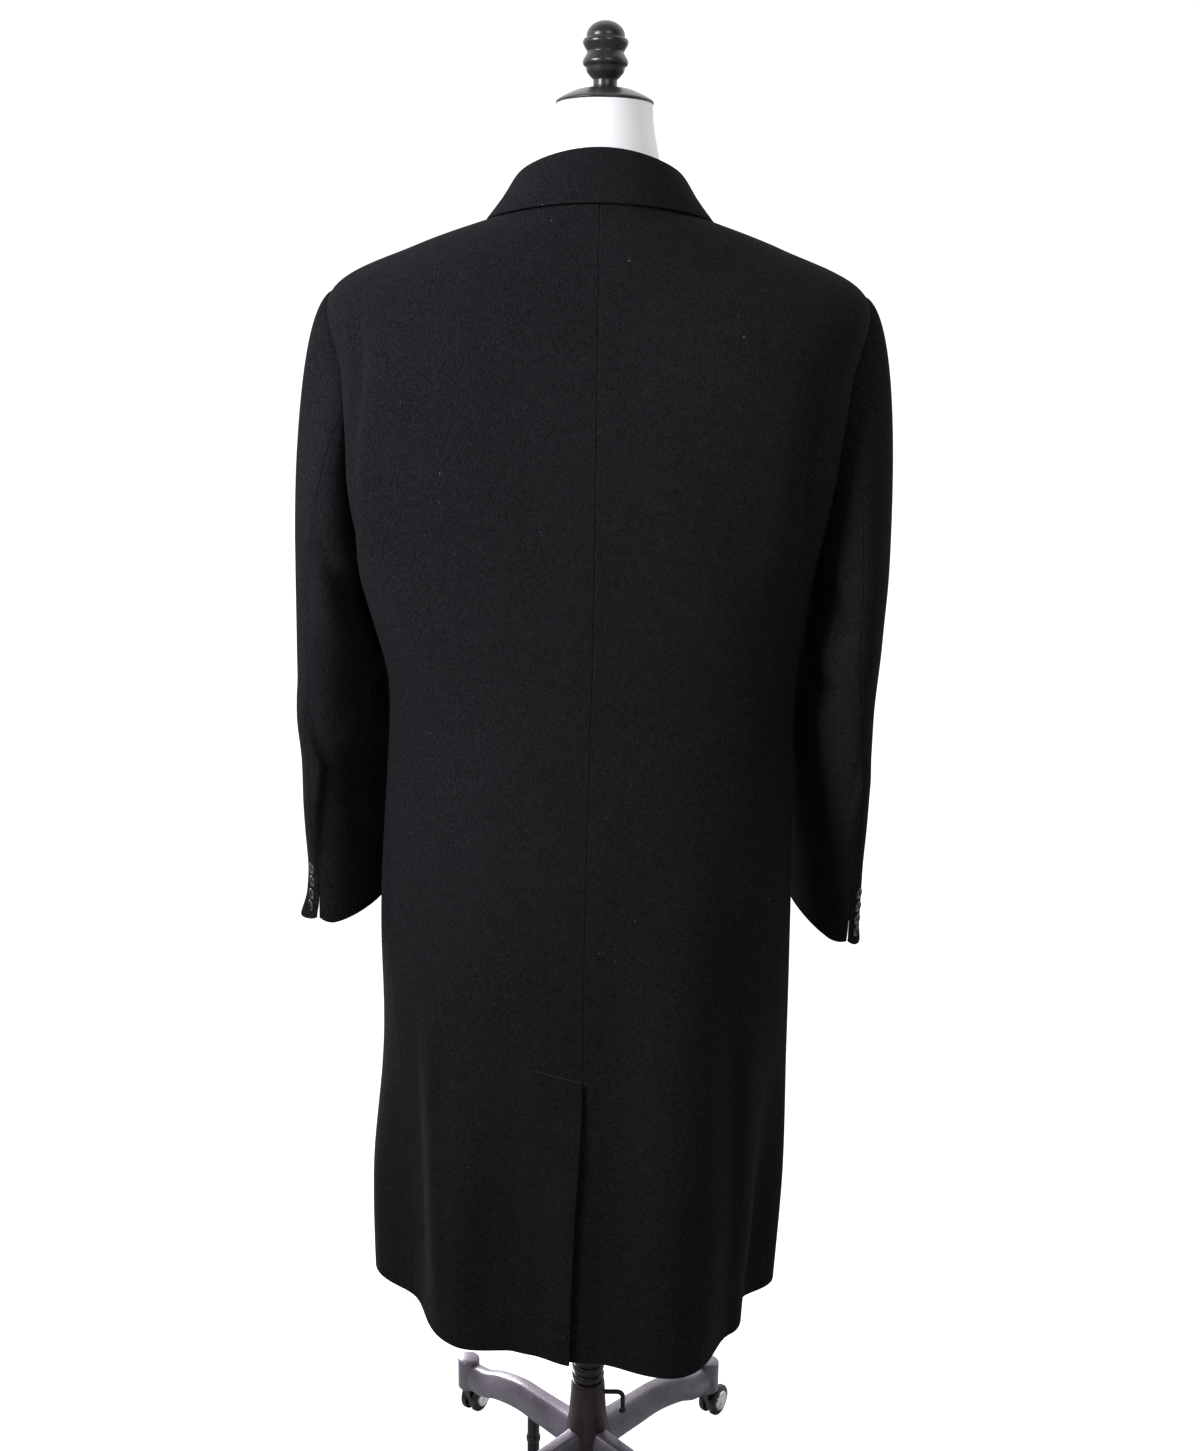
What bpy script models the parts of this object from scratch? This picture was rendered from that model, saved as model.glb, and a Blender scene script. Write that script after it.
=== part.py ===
"""A man's wool topcoat, buttoned on a limbless dress form that rolls on a four-legged cast foot.

Metres, +Z up. The origin is on the floor under the column. The coat's front faces -Y, and the
wearer's left is +X. Every piece of cloth is a wall of its own, a seam's width from its neighbours.
"""

import math
from collections import namedtuple

import bmesh
import bpy
from mathutils import Matrix, Vector

# ---------------------------------------------------------------- cloth sizes
CLOTH = 0.0025          # thickness of the coating with its lining
FACING = 0.0022         # thickness of a lapel or the collar
SEAM = 0.0003           # gap left at a seam
LAP = 0.0009            # gap between two layers that lie on each other
TINY = 1e-4             # step used to measure a surface's slope

COAT_SHIFT = 0.003      # how far the coat's top hangs to the wearer's left

# The body of the coat as rings, from the hem to the neckline. Above the armpit a ring climbs over
# the shoulder: its sides stand at z_side, its middle back at z_back and its middle front at z_front.
Section = namedtuple("Section", "name z_side z_back z_front x_mid half_width y_back y_front "
                                "square_back square_front")
BODY = [
    Section("hem", 0.280, 0.280, 0.280, 0.0165, 0.2085, 0.162, 0.158, 2.10, 2.10),
    Section("low skirt", 0.400, 0.400, 0.400, 0.0135, 0.2105, 0.156, 0.153, 2.10, 2.10),
    Section("mid skirt", 0.540, 0.540, 0.540, 0.0080, 0.2030, 0.148, 0.148, 2.10, 2.10),
    Section("hip", 0.700, 0.700, 0.700, 0.0080, 0.2005, 0.138, 0.142, 2.20, 2.15),
    Section("waist", 0.880, 0.880, 0.880, 0.0050, 0.1925, 0.120, 0.128, 2.45, 2.20),
    Section("chest", 0.975, 0.975, 0.975, 0.0035, 0.1960, 0.125, 0.133, 2.75, 2.25),
    Section("armpit", 1.050, 1.050, 1.050, COAT_SHIFT, 0.2030, 0.131, 0.136, 3.00, 2.30),
    Section("blade", 1.125, 1.120, 1.115, COAT_SHIFT, 0.2150, 0.133, 0.130, 3.30, 2.35),
    Section("yoke", 1.195, 1.185, 1.170, COAT_SHIFT, 0.2290, 0.129, 0.117, 3.40, 2.35),
    Section("shoulder tip", 1.267, 1.240, 1.215, COAT_SHIFT, 0.2400, 0.116, 0.101, 2.70, 2.30),
    Section("mid shoulder", 1.3085, 1.294, 1.258, COAT_SHIFT, 0.1630, 0.099, 0.084, 2.20, 2.20),
    Section("neckline", 1.337, 1.345, 1.290, COAT_SHIFT, 0.0800, 0.0785, 0.062, 2.00, 2.00),
]
ARMPIT, SHOULDER_TIP, NECKLINE = 6, 9, 11

# The skirt's large soft folds. The angle is from the middle of the back, positive to the wearer's
# left. A fold has its full depth at the hem and is gone at the height "ends".
Fold = namedtuple("Fold", "name angle half_span depth full_below ends")
FOLDS = [
    Fold("left side trough", 62, 32, -0.034, 0.33, 0.66),
    Fold("left back hollow", 14, 18, -0.014, 0.36, 0.62),
    Fold("right back swell", -26, 21, 0.036, 0.33, 0.84),
    Fold("right side trough", -67, 19, -0.026, 0.33, 0.62),
    Fold("left front swell", 122, 22, 0.014, 0.33, 0.70),
    Fold("right front trough", -128, 20, -0.012, 0.33, 0.66),
    Fold("right front swell", -152, 18, 0.010, 0.33, 0.60),
]

# The back's drapes: above the waist the cloth stands out sideways behind each armhole.
Drape = namedtuple("Drape", "name angle half_span reach low high")
DRAPES = [
    Drape("left drape", 58, 27, 0.027, 0.87, 1.23),
    Drape("right drape", -58, 27, 0.010, 0.93, 1.23),
]

# Heights of the panels' rows of points below the armpit.
VENT_TOP = 0.572
VENT_LAP = 0.040
VENT_SLANT = 0.012
# The left back rises off the flap over a slope of this width, from so far beyond the flap's edge.
VENT_LIFT_BEYOND, VENT_LIFT_SLOPE = 0.034, 0.022
VENT_LIFT_ABOVE, VENT_LIFT_RAMP = 0.033, 0.030
SKIRT_HEIGHTS = (0.280, 0.340, 0.410, 0.480, VENT_TOP - VENT_SLANT, VENT_TOP, 0.605, 0.680,
                 0.770, 0.860, 0.940, 1.000)
ARMHOLE_ROWS = 10
ARMHOLE_ROUNDING = 0.6          # how far its rows gather at its two ends
SHOULDER_ROWS = 5
ARMHOLE_HALF_ANGLE = 25.0
SIDE_SEAM_ANGLE = 65.0
SIDE_SEAM_TOP_ANGLE = 88.0
SIDE_SEAM_TURNS_AT = 0.62
# Where each panel's columns stand, as shares of the way from its first edge to its last.
BACK_SHARES = (0.0, 0.06, 0.14, 0.25, 0.36, 0.48, 0.59, 0.69, 0.78, 0.86, 0.93, 1.0)
FRONT_SHARES = (0.0, 0.10, 0.22, 0.35, 0.49, 0.64, 0.80)
ARMHOLE_REACH, FLAP_REACH = 0.55, 0.14

# The front closes left over right. Near its edge a front's columns stand at set distances from it,
# so that the two fronts' columns meet where they lap. Points on it are given as seen from the front: x, z.
FRONT_LAP = 0.024
LIFT_FADE = 0.030
FRONT_LIFT_SLOPE = 0.9 * LIFT_FADE
EDGE_DISTANCES = (2 * FRONT_LAP + LIFT_FADE, 2 * FRONT_LAP, FRONT_LAP, 0.0)
BREAK = (-0.023, 0.992)
ROLL_TOP = (0.0605, 1.3175)
LAPEL_ROLL_TOP = (0.0575, 1.300)
LAPEL_TIP = (0.137, 1.236)
LAPEL_BELLY = 0.007
# Where each lapel starts, as a share of its height, and how its fold rises off the front.
LAPEL_STARTS = {1: 0.05, -1: 0.20}
LAPEL_ROLL_RISE = 0.004
LAPEL_ROLL_GROWS = 0.25
UNDER_LEFT_EDGE = 0.004
BUTTON_HEIGHTS = (0.960, 0.830, 0.700)
BUTTON_RADIUS = 0.0135
CUFF_BUTTON_RADIUS = 0.0058
CUFF_BUTTON_PITCH = 2.08 * CUFF_BUTTON_RADIUS
CUFF_BUTTON_FIRST = 0.022       # from the cuff's edge up to the lowest button
CUFF_BUTTON_FROM_VENT = 0.0095
BUTTON_STANDS_OFF = 0.0005
FRONT_BUTTON_SIDES, CUFF_BUTTON_SIDES = 14, 10
# The button's turned outline, as shares of its radius: from the well in its face to its flat back.
BUTTON_OUTLINE = ((0.0, 0.24), (0.62, 0.24), (0.80, 0.36), (1.0, 0.20), (0.86, 0.0), (0.0, 0.0))

# The collar's show face, from the foot of its stand up to the crest and down the fall. Each strip
# runs from the middle back, over the shoulder (half_width, z_side), to its end at the front.
Strip = namedtuple("Strip", "name half_width y_back z_back z_side x_end y_end z_end")
COLLAR = [
    Strip("foot", 0.0780, 0.0745, 1.3470, 1.3405, 0.0570, -0.0420, 1.3200),
    Strip("stand", 0.0700, 0.0645, 1.3640, 1.3520, 0.0548, -0.0490, 1.3170),
    Strip("stand top", 0.0655, 0.0575, 1.3800, 1.3640, 0.0550, -0.0555, 1.3120),
    Strip("crest", 0.0700, 0.0610, 1.3865, 1.3715, 0.0590, -0.0610, 1.3065),
    Strip("fall top", 0.0765, 0.0670, 1.3815, 1.3660, 0.0722, -0.0676, 1.2951),
    Strip("fall", 0.0870, 0.0775, 1.3620, 1.3500, 0.1003, -0.0780, 1.2716),
    Strip("edge", 0.1020, 0.0862, 1.3393, 1.3346, 0.1275, -0.0622, 1.2895),
]
COLLAR_COLUMNS = 22
COLLAR_SIDE_SHARE = 0.62
COLLAR_PLACES = (0.0, 1.0, 2.0, 2.5, 3.0, 3.5, 4.0, 4.5, 5.0, 6.0)

# Sleeve rings below the cap. The inner side of a ring faces the body. Tilt lifts its front, and yaw
# turns its front towards the body, as a hanging arm bends forward and in.
Ring = namedtuple("Ring", "name z x_mid y_mid half_x half_y tilt yaw seam_angle")
SLEEVES = {
    1: [
        Ring("biceps", 1.015, 0.2460, -0.004, 0.0389, 0.074, 0.0, 1.0, 116),
        Ring("upper arm", 0.950, 0.2448, -0.002, 0.0395, 0.071, 2.0, 6.0, 112),
        Ring("elbow", 0.885, 0.2440, -0.010, 0.0380, 0.067, 7.0, 14.0, 104),
        Ring("forearm", 0.815, 0.2444, -0.026, 0.0370, 0.064, 12.0, 20.0, 97),
        Ring("lower arm", 0.750, 0.2452, -0.042, 0.0350, 0.061, 16.0, 24.0, 94),
        Ring("cuff", 0.675, 0.2472, -0.054, 0.0335, 0.059, 17.0, 26.0, 94),
    ],
    -1: [
        Ring("biceps", 1.015, 0.2359, -0.002, 0.0342, 0.075, 0.0, 2.0, 90),
        Ring("upper arm", 0.950, 0.2312, 0.000, 0.0350, 0.072, 2.0, 6.0, 92),
        Ring("elbow", 0.880, 0.2276, -0.009, 0.0325, 0.068, 7.0, 14.0, 97),
        Ring("forearm", 0.805, 0.2284, -0.027, 0.0290, 0.065, 14.0, 22.0, 92),
        Ring("lower arm", 0.735, 0.2305, -0.044, 0.0262, 0.063, 19.0, 26.0, 84),
        Ring("cuff", 0.662, 0.2316, -0.059, 0.0245, 0.062, 22.0, 27.0, 78),
    ],
}
SLEEVE_COLUMNS = 2 * ARMHOLE_ROWS
HIND_SEAM_COLUMN, FORE_SEAM_COLUMN = 5, 16
FORE_SEAM_ANGLE = 300.0
OUTER_ANGLE = 186.0
CAP_LEAVES, CAP_ARRIVES = 0.34, 0.9     # how strongly the cap bulges at its two ends
ARMPIT_CLEARANCE = 0.0007
ARMPIT_TURNS_DOWN = 0.85
CAP_DROOP, CAP_SWING = 0.2, 0.35        # how far it leans down and round as it leaves the armhole
CAP_ROWS = (0.0, 0.10, 0.25, 0.46, 0.72)
RING_STEPS = 9
CUFF_NOTCH = 0.14

# ---------------------------------------------------------------- dress form sizes
# How far the form lies inside the coat's show face, at places along the rings of BODY.
Inset = namedtuple("Inset", "place depth")
FORM_INSETS = [
    Inset(3.0, 0.034), Inset(3.5, 0.028), Inset(4.0, 0.021), Inset(4.6, 0.018), Inset(5.3, 0.016),
    Inset(6.0, 0.014), Inset(7.0, 0.011), Inset(8.0, 0.0090), Inset(8.6, 0.0080),
    Inset(9.0, 0.0072), Inset(9.35, 0.0056), Inset(9.7, 0.0042), Inset(10.2, 0.0033),
    Inset(10.6, 0.0050), Inset(11.0, 0.0150),
]
# Rings of the neck: height, half width, half depth.
NECK_RINGS = ((1.362, 0.054, 0.050), (1.385, 0.0490, 0.0480), (1.410, 0.0440, 0.0440),
              (1.4292, 0.0425, 0.0425))
FORM_COLUMNS = 24
FORM_BOTTOM = 0.700
NECK_CAP_BOTTOM = 1.4295
NECK_CAP_TOP = 0.0138           # the cap's height, and its outline (radius, height) down to its rim
NECK_CAP_OUTLINE = ((0, NECK_CAP_TOP), (0.014, 0.0136), (0.026, 0.0105), (0.036, 0.0056),
                    (0.0435, 0.0008), (0.0435, 0), (0, 0))
# The plate and tube under the form: radius, and depth below the form.
SOCKET_PLATE = ((0, 0), (0.052, 0), (0.055, 0.002), (0.055, 0.006), (0.019, 0.008))
SOCKET_TUBE_RADIUS, SOCKET_DEPTH = 0.018, 0.048
# The turned knob down from its dome: a bowl, two rims with a waist between them, and a stem.
DOME_RADIUS, DOME_HEIGHT, DOME_FOOT = 0.0170, 0.0130, 0.0418
DOME_ANGLES = (0, 22, 45, 68, 90)
FINIAL_OUTLINE = (
    (0.0168, 0.0405), (0.0198, 0.0390), (0.0203, 0.0360), (0.0186, 0.0328), (0.0159, 0.0285),
    (0.0186, 0.0242), (0.0203, 0.0212), (0.0200, 0.0182), (0.0176, 0.0165), (0.0165, 0.0122),
    (0.0126, 0.0078), (0.0106, 0.0062), (0.0106, 0.0), (0.0, 0.0))

# ---------------------------------------------------------------- stand sizes
POLE_RADIUS = 0.0125
BORE_RADIUS = 0.0129
POLE_BOTTOM, POLE_TOP = 0.0450, 0.6932
ROUND_STEPS = 20
HUB_TOP = 0.1500
COLLAR_TOP = 0.1940
LEVER_HEIGHT = 0.1335
LEVER_REACH = 0.0375
LEVER_DROP = 0.0215
LEVER_RADIUS = 0.0020
LEVER_FROM, LEVER_BEND, BALL_RADIUS = 0.0132, 0.006, 1.85 * LEVER_RADIUS
BEND_STEPS, BALL_STEPS = (30, 60, 90), (40, 90, 140, 170)
BALL_NECK = 1.4                 # the rod's last full point above the ball's middle, in its radii
BOSS_DISTANCE = 0.1970
BOSS_RADIUS = 0.0125
BOSS_BOTTOM, BOSS_TOP = 0.0392, 0.0745
STEM_RADIUS = 0.0042
STEM_TOP = 0.0600
LEG_ANGLES = {"left_front": -45.0, "left_back": 45.0, "right_back": 135.0, "right_front": 225.0}
Beam = namedtuple("Beam", "distance top bottom width")
LEG = [
    Beam(0.0148, 0.0960, 0.0580, 0.028), Beam(0.0350, 0.0945, 0.0600, 0.026),
    Beam(0.0700, 0.0935, 0.0600, 0.024), Beam(0.1050, 0.0920, 0.0600, 0.023),
    Beam(0.1400, 0.0840, 0.0530, 0.022), Beam(0.1660, 0.0735, 0.0430, 0.021),
    Beam(0.1920, 0.0705, 0.0415, 0.019),
]
# Half of a leg's cross-section: share of its half width, and share of its depth up from below.
LEG_HALF_SECTION = ((0.72, 0.0), (1.0, 0.10), (1.0, 0.62), (0.55, 1.0))
# The domed top of a boss: share of its radius, and height over its edge.
BOSS_DOME = ((0.0, 0.003), (0.55, 0.0026), (0.88, 0.001), (1.0, -0.001))
# The hub's outline down from its top edge.
HUB_OUTLINE = ((0.0164, HUB_TOP), (0.0178, HUB_TOP - 0.002), (0.0186, 0.132), (0.0200, 0.110),
               (0.0222, 0.094), (0.0262, 0.079), (0.0330, 0.064), (0.0350, 0.052),
               (0.0330, 0.041), (0.0260, 0.038), (0, 0.038))
SCREW_HOLE_FROM, SCREW_HOLE_TO = 0.010, 0.030
RIB_COUNT, RIB_OUT, RIB_IN = 4, 0.0172, 0.0148
RIB_FLAT_FROM, RIB_FLAT_TO = 0.25, 0.60      # where a rib is at its widest, as shares of its pitch
POST_DISTANCE = 0.0855
POST_RADIUS = 0.0068
POST_TOP, POST_FOOT, POST_CHAMFER = 0.0597, 0.0040, 0.0015
GROOVE_TOP, GROOVE_LOW, GROOVE_RADIUS = 0.0340, 0.0260, 0.0050
RING_EDGE, RING_BULGE = 0.0004, 0.0012       # how far the ring stands out past the post
POST_SIDES = 16

WHEEL_RADIUS = 0.0180
WHEEL_SIDES = 14
WHEEL_HALF_WIDTH = 0.0105
WHEEL_INNER = 0.0038
AXLE_RADIUS = 0.0030
CASTER_TRAIL = 0.0150
TREAD_CHAMFER, TREAD_SIDE = 0.0014, 0.0020
DISC_OUTLINE = ((0, 0.0018), (0.0090, 0.0012), (0.0128, 0), (0, 0))
STEM_CHAMFER, STEM_CHAMFER_DEPTH = 0.0006, 0.0008
# The collar under the boss: the radius of its top, its shoulder and its foot.
HOUSING_TOP, HOUSING_SHOULDER, HOUSING_FOOT = 0.0105, 0.0110, 0.0100
SHOULDER_DROP, WHEEL_CLEARANCE, PLATE_OVERLAP = 0.0012, 0.0008, 0.0006
# The plate between the wheels: its round edge, and its straight rear edge and where it starts.
PLATE_RADIUS, PLATE_REAR, PLATE_REAR_RISE = 0.0150, 0.0190, 0.012
PLATE_ARC, PLATE_ARC_STEPS = 270, 8
TAB_RISE, TAB_PIN, TAB_HALF_THICKNESS = 24, 0.0166, 0.0014
TAB_OUTLINE = ((-0.0010, -0.0026), (0.0120, -0.0030), (0.0135, -0.0060), (0.0135, 0.0060),
               (0.0120, 0.0030), (-0.0010, 0.0026))
# The way each caster trails, in degrees from +X.
CASTER_YAWS = {"left_front": 242.0, "left_back": 205.0, "right_back": 318.0, "right_front": 236.0}

# ---------------------------------------------------------------- finishes
Finish = namedtuple("Finish", "colour metallic roughness")
FINISHES = {
    "black wool coating": Finish((0.010, 0.010, 0.013), 0.0, 0.92),
    "dark horn": Finish((0.030, 0.030, 0.034), 0.0, 0.38),
    "white jersey": Finish((0.86, 0.86, 0.88), 0.0, 0.80),
    "black wood": Finish((0.016, 0.015, 0.016), 0.0, 0.42),
    "grey casting": Finish((0.105, 0.092, 0.090), 0.75, 0.46),
    "black steel": Finish((0.022, 0.021, 0.022), 0.6, 0.36),
    "black plastic": Finish((0.018, 0.018, 0.020), 0.0, 0.45),
    "bright disc": Finish((0.82, 0.83, 0.85), 1.0, 0.12),
}


# ---------------------------------------------------------------- scene helpers
def clear_scene():
    for old in list(bpy.data.objects):
        bpy.data.objects.remove(old, do_unlink=True)


def new_collection(name):
    collection = bpy.data.collections.new(name)
    bpy.context.scene.collection.children.link(collection)
    return collection


clear_scene()
TOPCOAT = new_collection("topcoat_on_dress_form")
HELPERS = new_collection("cutters")


def finish(name):
    """The material of that name, made the first time it is asked for."""
    material = bpy.data.materials.get(name)
    if material is None:
        material = bpy.data.materials.new(name)
        material.use_nodes = True
        shader = material.node_tree.nodes["Principled BSDF"]
        shader.inputs["Base Color"].default_value = (*FINISHES[name].colour, 1.0)
        shader.inputs["Metallic"].default_value = FINISHES[name].metallic
        shader.inputs["Roughness"].default_value = FINISHES[name].roughness
    return material


def add_object(name, mesh, material=None, helper=False):
    piece = bpy.data.objects.new(name, mesh)
    (HELPERS if helper else TOPCOAT).objects.link(piece)
    if helper:
        piece.hide_render = True
        piece.display_type = "WIRE"
    else:
        piece.data.materials.append(finish(material))
    return piece


def closed_mesh(name, points, faces):
    """A closed mesh from points and faces, with its faces turned outward and shaded smooth."""
    work = bmesh.new()
    corners = [work.verts.new(point) for point in points]
    for face in faces:
        work.faces.new([corners[index] for index in face])
    bmesh.ops.recalc_face_normals(work, faces=work.faces)
    mesh = bpy.data.meshes.new(name)
    work.to_mesh(mesh)
    work.free()
    mesh.shade_smooth()
    mesh.set_sharp_from_angle(angle=math.radians(40))
    return mesh


def wall(name, grid, thickness, material):
    """A cloth wall. The grid holds rows of (point, outward normal) of its show face."""
    rows, columns = len(grid), len(grid[0])
    outer = [point for row in grid for point, _ in row]
    inner = [point - normal * thickness for row in grid for point, normal in row]
    count = len(outer)
    faces = []
    for j in range(rows - 1):
        for i in range(columns - 1):
            a, b = j * columns + i, j * columns + i + 1
            c, d = a + columns, b + columns
            faces += [(a, b, d, c), (count + a, count + c, count + d, count + b)]
    rim = [i for i in range(columns)]
    rim += [j * columns + columns - 1 for j in range(1, rows)]
    rim += [(rows - 1) * columns + i for i in range(columns - 2, -1, -1)]
    rim += [j * columns for j in range(rows - 2, 0, -1)]
    for here, there in zip(rim, rim[1:] + rim[:1]):
        faces.append((here, there, count + there, count + here))
    return add_object(name, closed_mesh(name, outer + inner, faces), material)


def loft(name, rings, material=None, helper=False):
    """A closed solid through rings of equal length, with a flat face at each end."""
    sides = len(rings[0])
    points = [point for ring in rings for point in ring]
    faces = [tuple(range(sides)), tuple(range(len(points) - sides, len(points)))]
    for j in range(len(rings) - 1):
        for i in range(sides):
            k = (i + 1) % sides
            low, high = j * sides, (j + 1) * sides
            faces.append((low + i, low + k, high + k, high + i))
    return add_object(name, closed_mesh(name, points, faces), material, helper)


def turned(name, profile, material=None, steps=ROUND_STEPS, helper=False):
    """A turned solid about local Z. The profile of (radius, height) runs down its outer side."""
    mesh = bpy.data.meshes.new(name)
    edges = [(k, k + 1) for k in range(len(profile) - 1)]
    if profile[0][0] > 0:
        edges.append((len(profile) - 1, 0))
    mesh.from_pydata([(radius, 0.0, height) for radius, height in profile], edges, [])
    piece = add_object(name, mesh, material, helper)
    screw = piece.modifiers.new("turn", "SCREW")
    screw.axis = "Z"
    screw.angle = math.tau
    screw.steps = screw.render_steps = steps
    screw.use_merge_vertices = True
    screw.merge_threshold = 0.00005
    screw.use_smooth_shade = True
    return piece


def drum(name, radius, low, high, steps=10):
    """A helper cylinder about local Z."""
    return turned(name, ((0, high), (radius, high), (radius, low), (0, low)), steps=steps,
                  helper=True)


def combine(piece, operation, others):
    for other in others:
        boolean = piece.modifiers.new(other.name, "BOOLEAN")
        boolean.operation = operation
        boolean.solver = "EXACT"
        boolean.object = other


def facing(direction, spin=0.0):
    """The turn that carries local Z to a direction, spun about it first."""
    turn = Vector((0, 0, 1)).rotation_difference(Vector(direction).normalized())
    return turn.to_matrix().to_4x4() @ Matrix.Rotation(spin, 4, "Z")


# ---------------------------------------------------------------- shape helpers
def smooth(value):
    value = min(max(value, 0.0), 1.0)
    return value * value * (3.0 - 2.0 * value)


def mix(first, second, share):
    return first + (second - first) * share


def row_at(rows, place):
    """The row at a fractional place: each of its numbers is on a smooth curve through the rows."""
    place = min(max(place, 0.0), len(rows) - 1.0)
    low = min(int(place), len(rows) - 2)
    t = place - low
    picks = [rows[min(max(low + k, 0), len(rows) - 1)] for k in (-1, 0, 1, 2)]
    weights = (-0.5 * t + t * t - 0.5 * t ** 3, 1.0 - 2.5 * t * t + 1.5 * t ** 3,
               0.5 * t + 2.0 * t * t - 1.5 * t ** 3, -0.5 * t * t + 0.5 * t ** 3)
    blended = [sum(w * pick[column] for w, pick in zip(weights, picks))
               for column in range(1, len(rows[0]))]
    return type(rows[0])(picks[1][0], *blended)


def place_at_height(height):
    """The place of a level ring of BODY, below the armpit."""
    low, high = 0.0, float(ARMPIT)
    for _ in range(40):
        middle = (low + high) / 2
        if row_at(BODY, middle).z_side < height:
            low = middle
        else:
            high = middle
    return (low + high) / 2


def fold_depth(angle, height):
    """How far the folds push the skirt out, at an angle in radians and a height."""
    total = 0.0
    for fold in FOLDS:
        away = (math.degrees(angle) - fold.angle + 180.0) % 360.0 - 180.0
        if abs(away) < fold.half_span:
            bump = math.cos(math.pi / 2 * away / fold.half_span) ** 2
            total += fold.depth * bump * smooth((fold.ends - height) / (fold.ends - fold.full_below))
    return total


def drape_reach(angle, height):
    """How far the drapes push the back sideways, at an angle in radians and a height."""
    total = 0.0
    for drape in DRAPES:
        away = (math.degrees(angle) - drape.angle + 180.0) % 360.0 - 180.0
        rise = (height - drape.low) / (drape.high - drape.low)
        if abs(away) < drape.half_span and 0.0 < rise < 1.0:
            bump = math.cos(math.pi / 2 * away / drape.half_span) ** 2
            total += drape.reach * bump * math.sin(math.pi * rise) ** 2
    return total


def body_point(angle, place, folded=True):
    """A point of the coat's body. The angle is from the middle back, positive to the left."""
    row = row_at(BODY, place)
    sine, cosine = math.sin(angle), math.cos(angle)
    depth, square = (row.y_back, row.square_back) if cosine >= 0 else (row.y_front, row.square_front)
    reach = (abs(sine) ** square + abs(cosine) ** square) ** (-1.0 / square)
    x, y = row.half_width * reach * sine, depth * reach * cosine
    z_middle = row.z_back if cosine >= 0 else row.z_front
    z = mix(row.z_side, z_middle, cosine ** 2)
    point = Vector((x, y, z))
    if folded:
        out = Vector((x / row.half_width ** 2, y / depth ** 2, 0.0)).normalized()
        point += out * fold_depth(angle, z)
        point.x += math.copysign(drape_reach(angle, z), sine)
    point.x += row.x_mid if folded else min(row.x_mid, COAT_SHIFT)
    return point


def body_normal(angle, place, folded=True):
    along = body_point(angle + TINY, place, folded) - body_point(angle - TINY, place, folded)
    up = body_point(angle, place + TINY, folded) - body_point(angle, place - TINY, folded)
    return up.cross(along).normalized()


def angle_for(metres, angle, place):
    """The change of angle that moves a point of the body round by so many metres."""
    step = body_point(angle + TINY, place) - body_point(angle - TINY, place)
    return metres * 2.0 * TINY / step.length


def on_front(x, z):
    """The angle and place of the front's point that shows at x, z when seen from the front."""
    angle = math.pi - x / 0.20
    place = place_at_height(z) if z < BODY[ARMPIT].z_front else ARMPIT + (z - 1.05) / 0.06
    for _ in range(40):
        place = min(place, NECKLINE - 0.01)
        here = body_point(angle, place)
        d_angle = (body_point(angle + TINY, place) - here) / TINY
        d_place = (body_point(angle, place + TINY) - here) / TINY
        off_x, off_z = x - here.x, z - here.z
        area = d_angle.x * d_place.z - d_angle.z * d_place.x
        angle += 0.6 * (off_x * d_place.z - off_z * d_place.x) / area
        place += 0.6 * (d_angle.x * off_z - d_angle.z * off_x) / area
    return angle, place


# ---------------------------------------------------------------- the coat's body
def side_seam_angle(place):
    height = row_at(BODY, place).z_side
    rise = smooth((height - SIDE_SEAM_TURNS_AT) / (BODY[ARMPIT].z_side - SIDE_SEAM_TURNS_AT))
    return math.radians(mix(SIDE_SEAM_ANGLE, SIDE_SEAM_TOP_ANGLE, rise))


def armhole_share(count):
    """How far up the armhole a row stands, from its count out of ARMHOLE_ROWS."""
    even = count / ARMHOLE_ROWS
    return mix(even, (1.0 - math.cos(math.pi * even)) / 2, ARMHOLE_ROUNDING)


def armhole_half_angle(place):
    """Half the armhole's opening at a ring: nothing below the armpit or above the shoulder tip."""
    share = (place - ARMPIT) / (SHOULDER_TIP - ARMPIT)
    across = max(0.0, 1.0 - (2.0 * share - 1.0) ** 2)
    return math.radians(ARMHOLE_HALF_ANGLE) * math.sqrt(across)


def seam_between_back_and_front(place, towards_back):
    """The unsigned angle at which a back or a front ends, with no armhole cut out of it."""
    sign = -1 if towards_back else 1
    angle = side_seam_angle(place) if place <= ARMPIT else math.pi / 2
    if ARMPIT < place < SHOULDER_TIP:
        return angle
    return angle + sign * angle_for(SEAM / 2, angle, place)


def vent_lift(angle, place):
    """How far the left back is raised off the flap that runs under it at the vent."""
    height = row_at(BODY, place).z_side
    round_from_middle = abs(angle) / angle_for(1.0, angle, place)
    sideways = smooth((VENT_LAP + VENT_LIFT_BEYOND - round_from_middle) / VENT_LIFT_SLOPE)
    upward = smooth((VENT_TOP + VENT_LIFT_ABOVE - height) / VENT_LIFT_RAMP)
    return (CLOTH + LAP) * sideways * upward


def front_lift(angle, place):
    """How far the left front is raised off the right one that runs under it."""
    round_from_middle = abs(math.pi - angle) / angle_for(1.0, angle, place)
    if angle > math.pi:
        return CLOTH + LAP
    return (CLOTH + LAP) * smooth((FRONT_LAP + LIFT_FADE - round_from_middle)
                                 / FRONT_LIFT_SLOPE)


def roll_angle(side, place):
    """The angle at which the roll line crosses a ring, above the break."""
    low, high = math.radians(95), math.radians(192)
    for _ in range(40):
        middle = (low + high) / 2
        point = body_point(side * middle, place)
        line_x = mix(BREAK[0], ROLL_TOP[0], (point.z - BREAK[1]) / (ROLL_TOP[1] - BREAK[1]))
        if side * (point.x - COAT_SHIFT) > line_x:
            low = middle
        else:
            high = middle
    return (low + high) / 2


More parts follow.
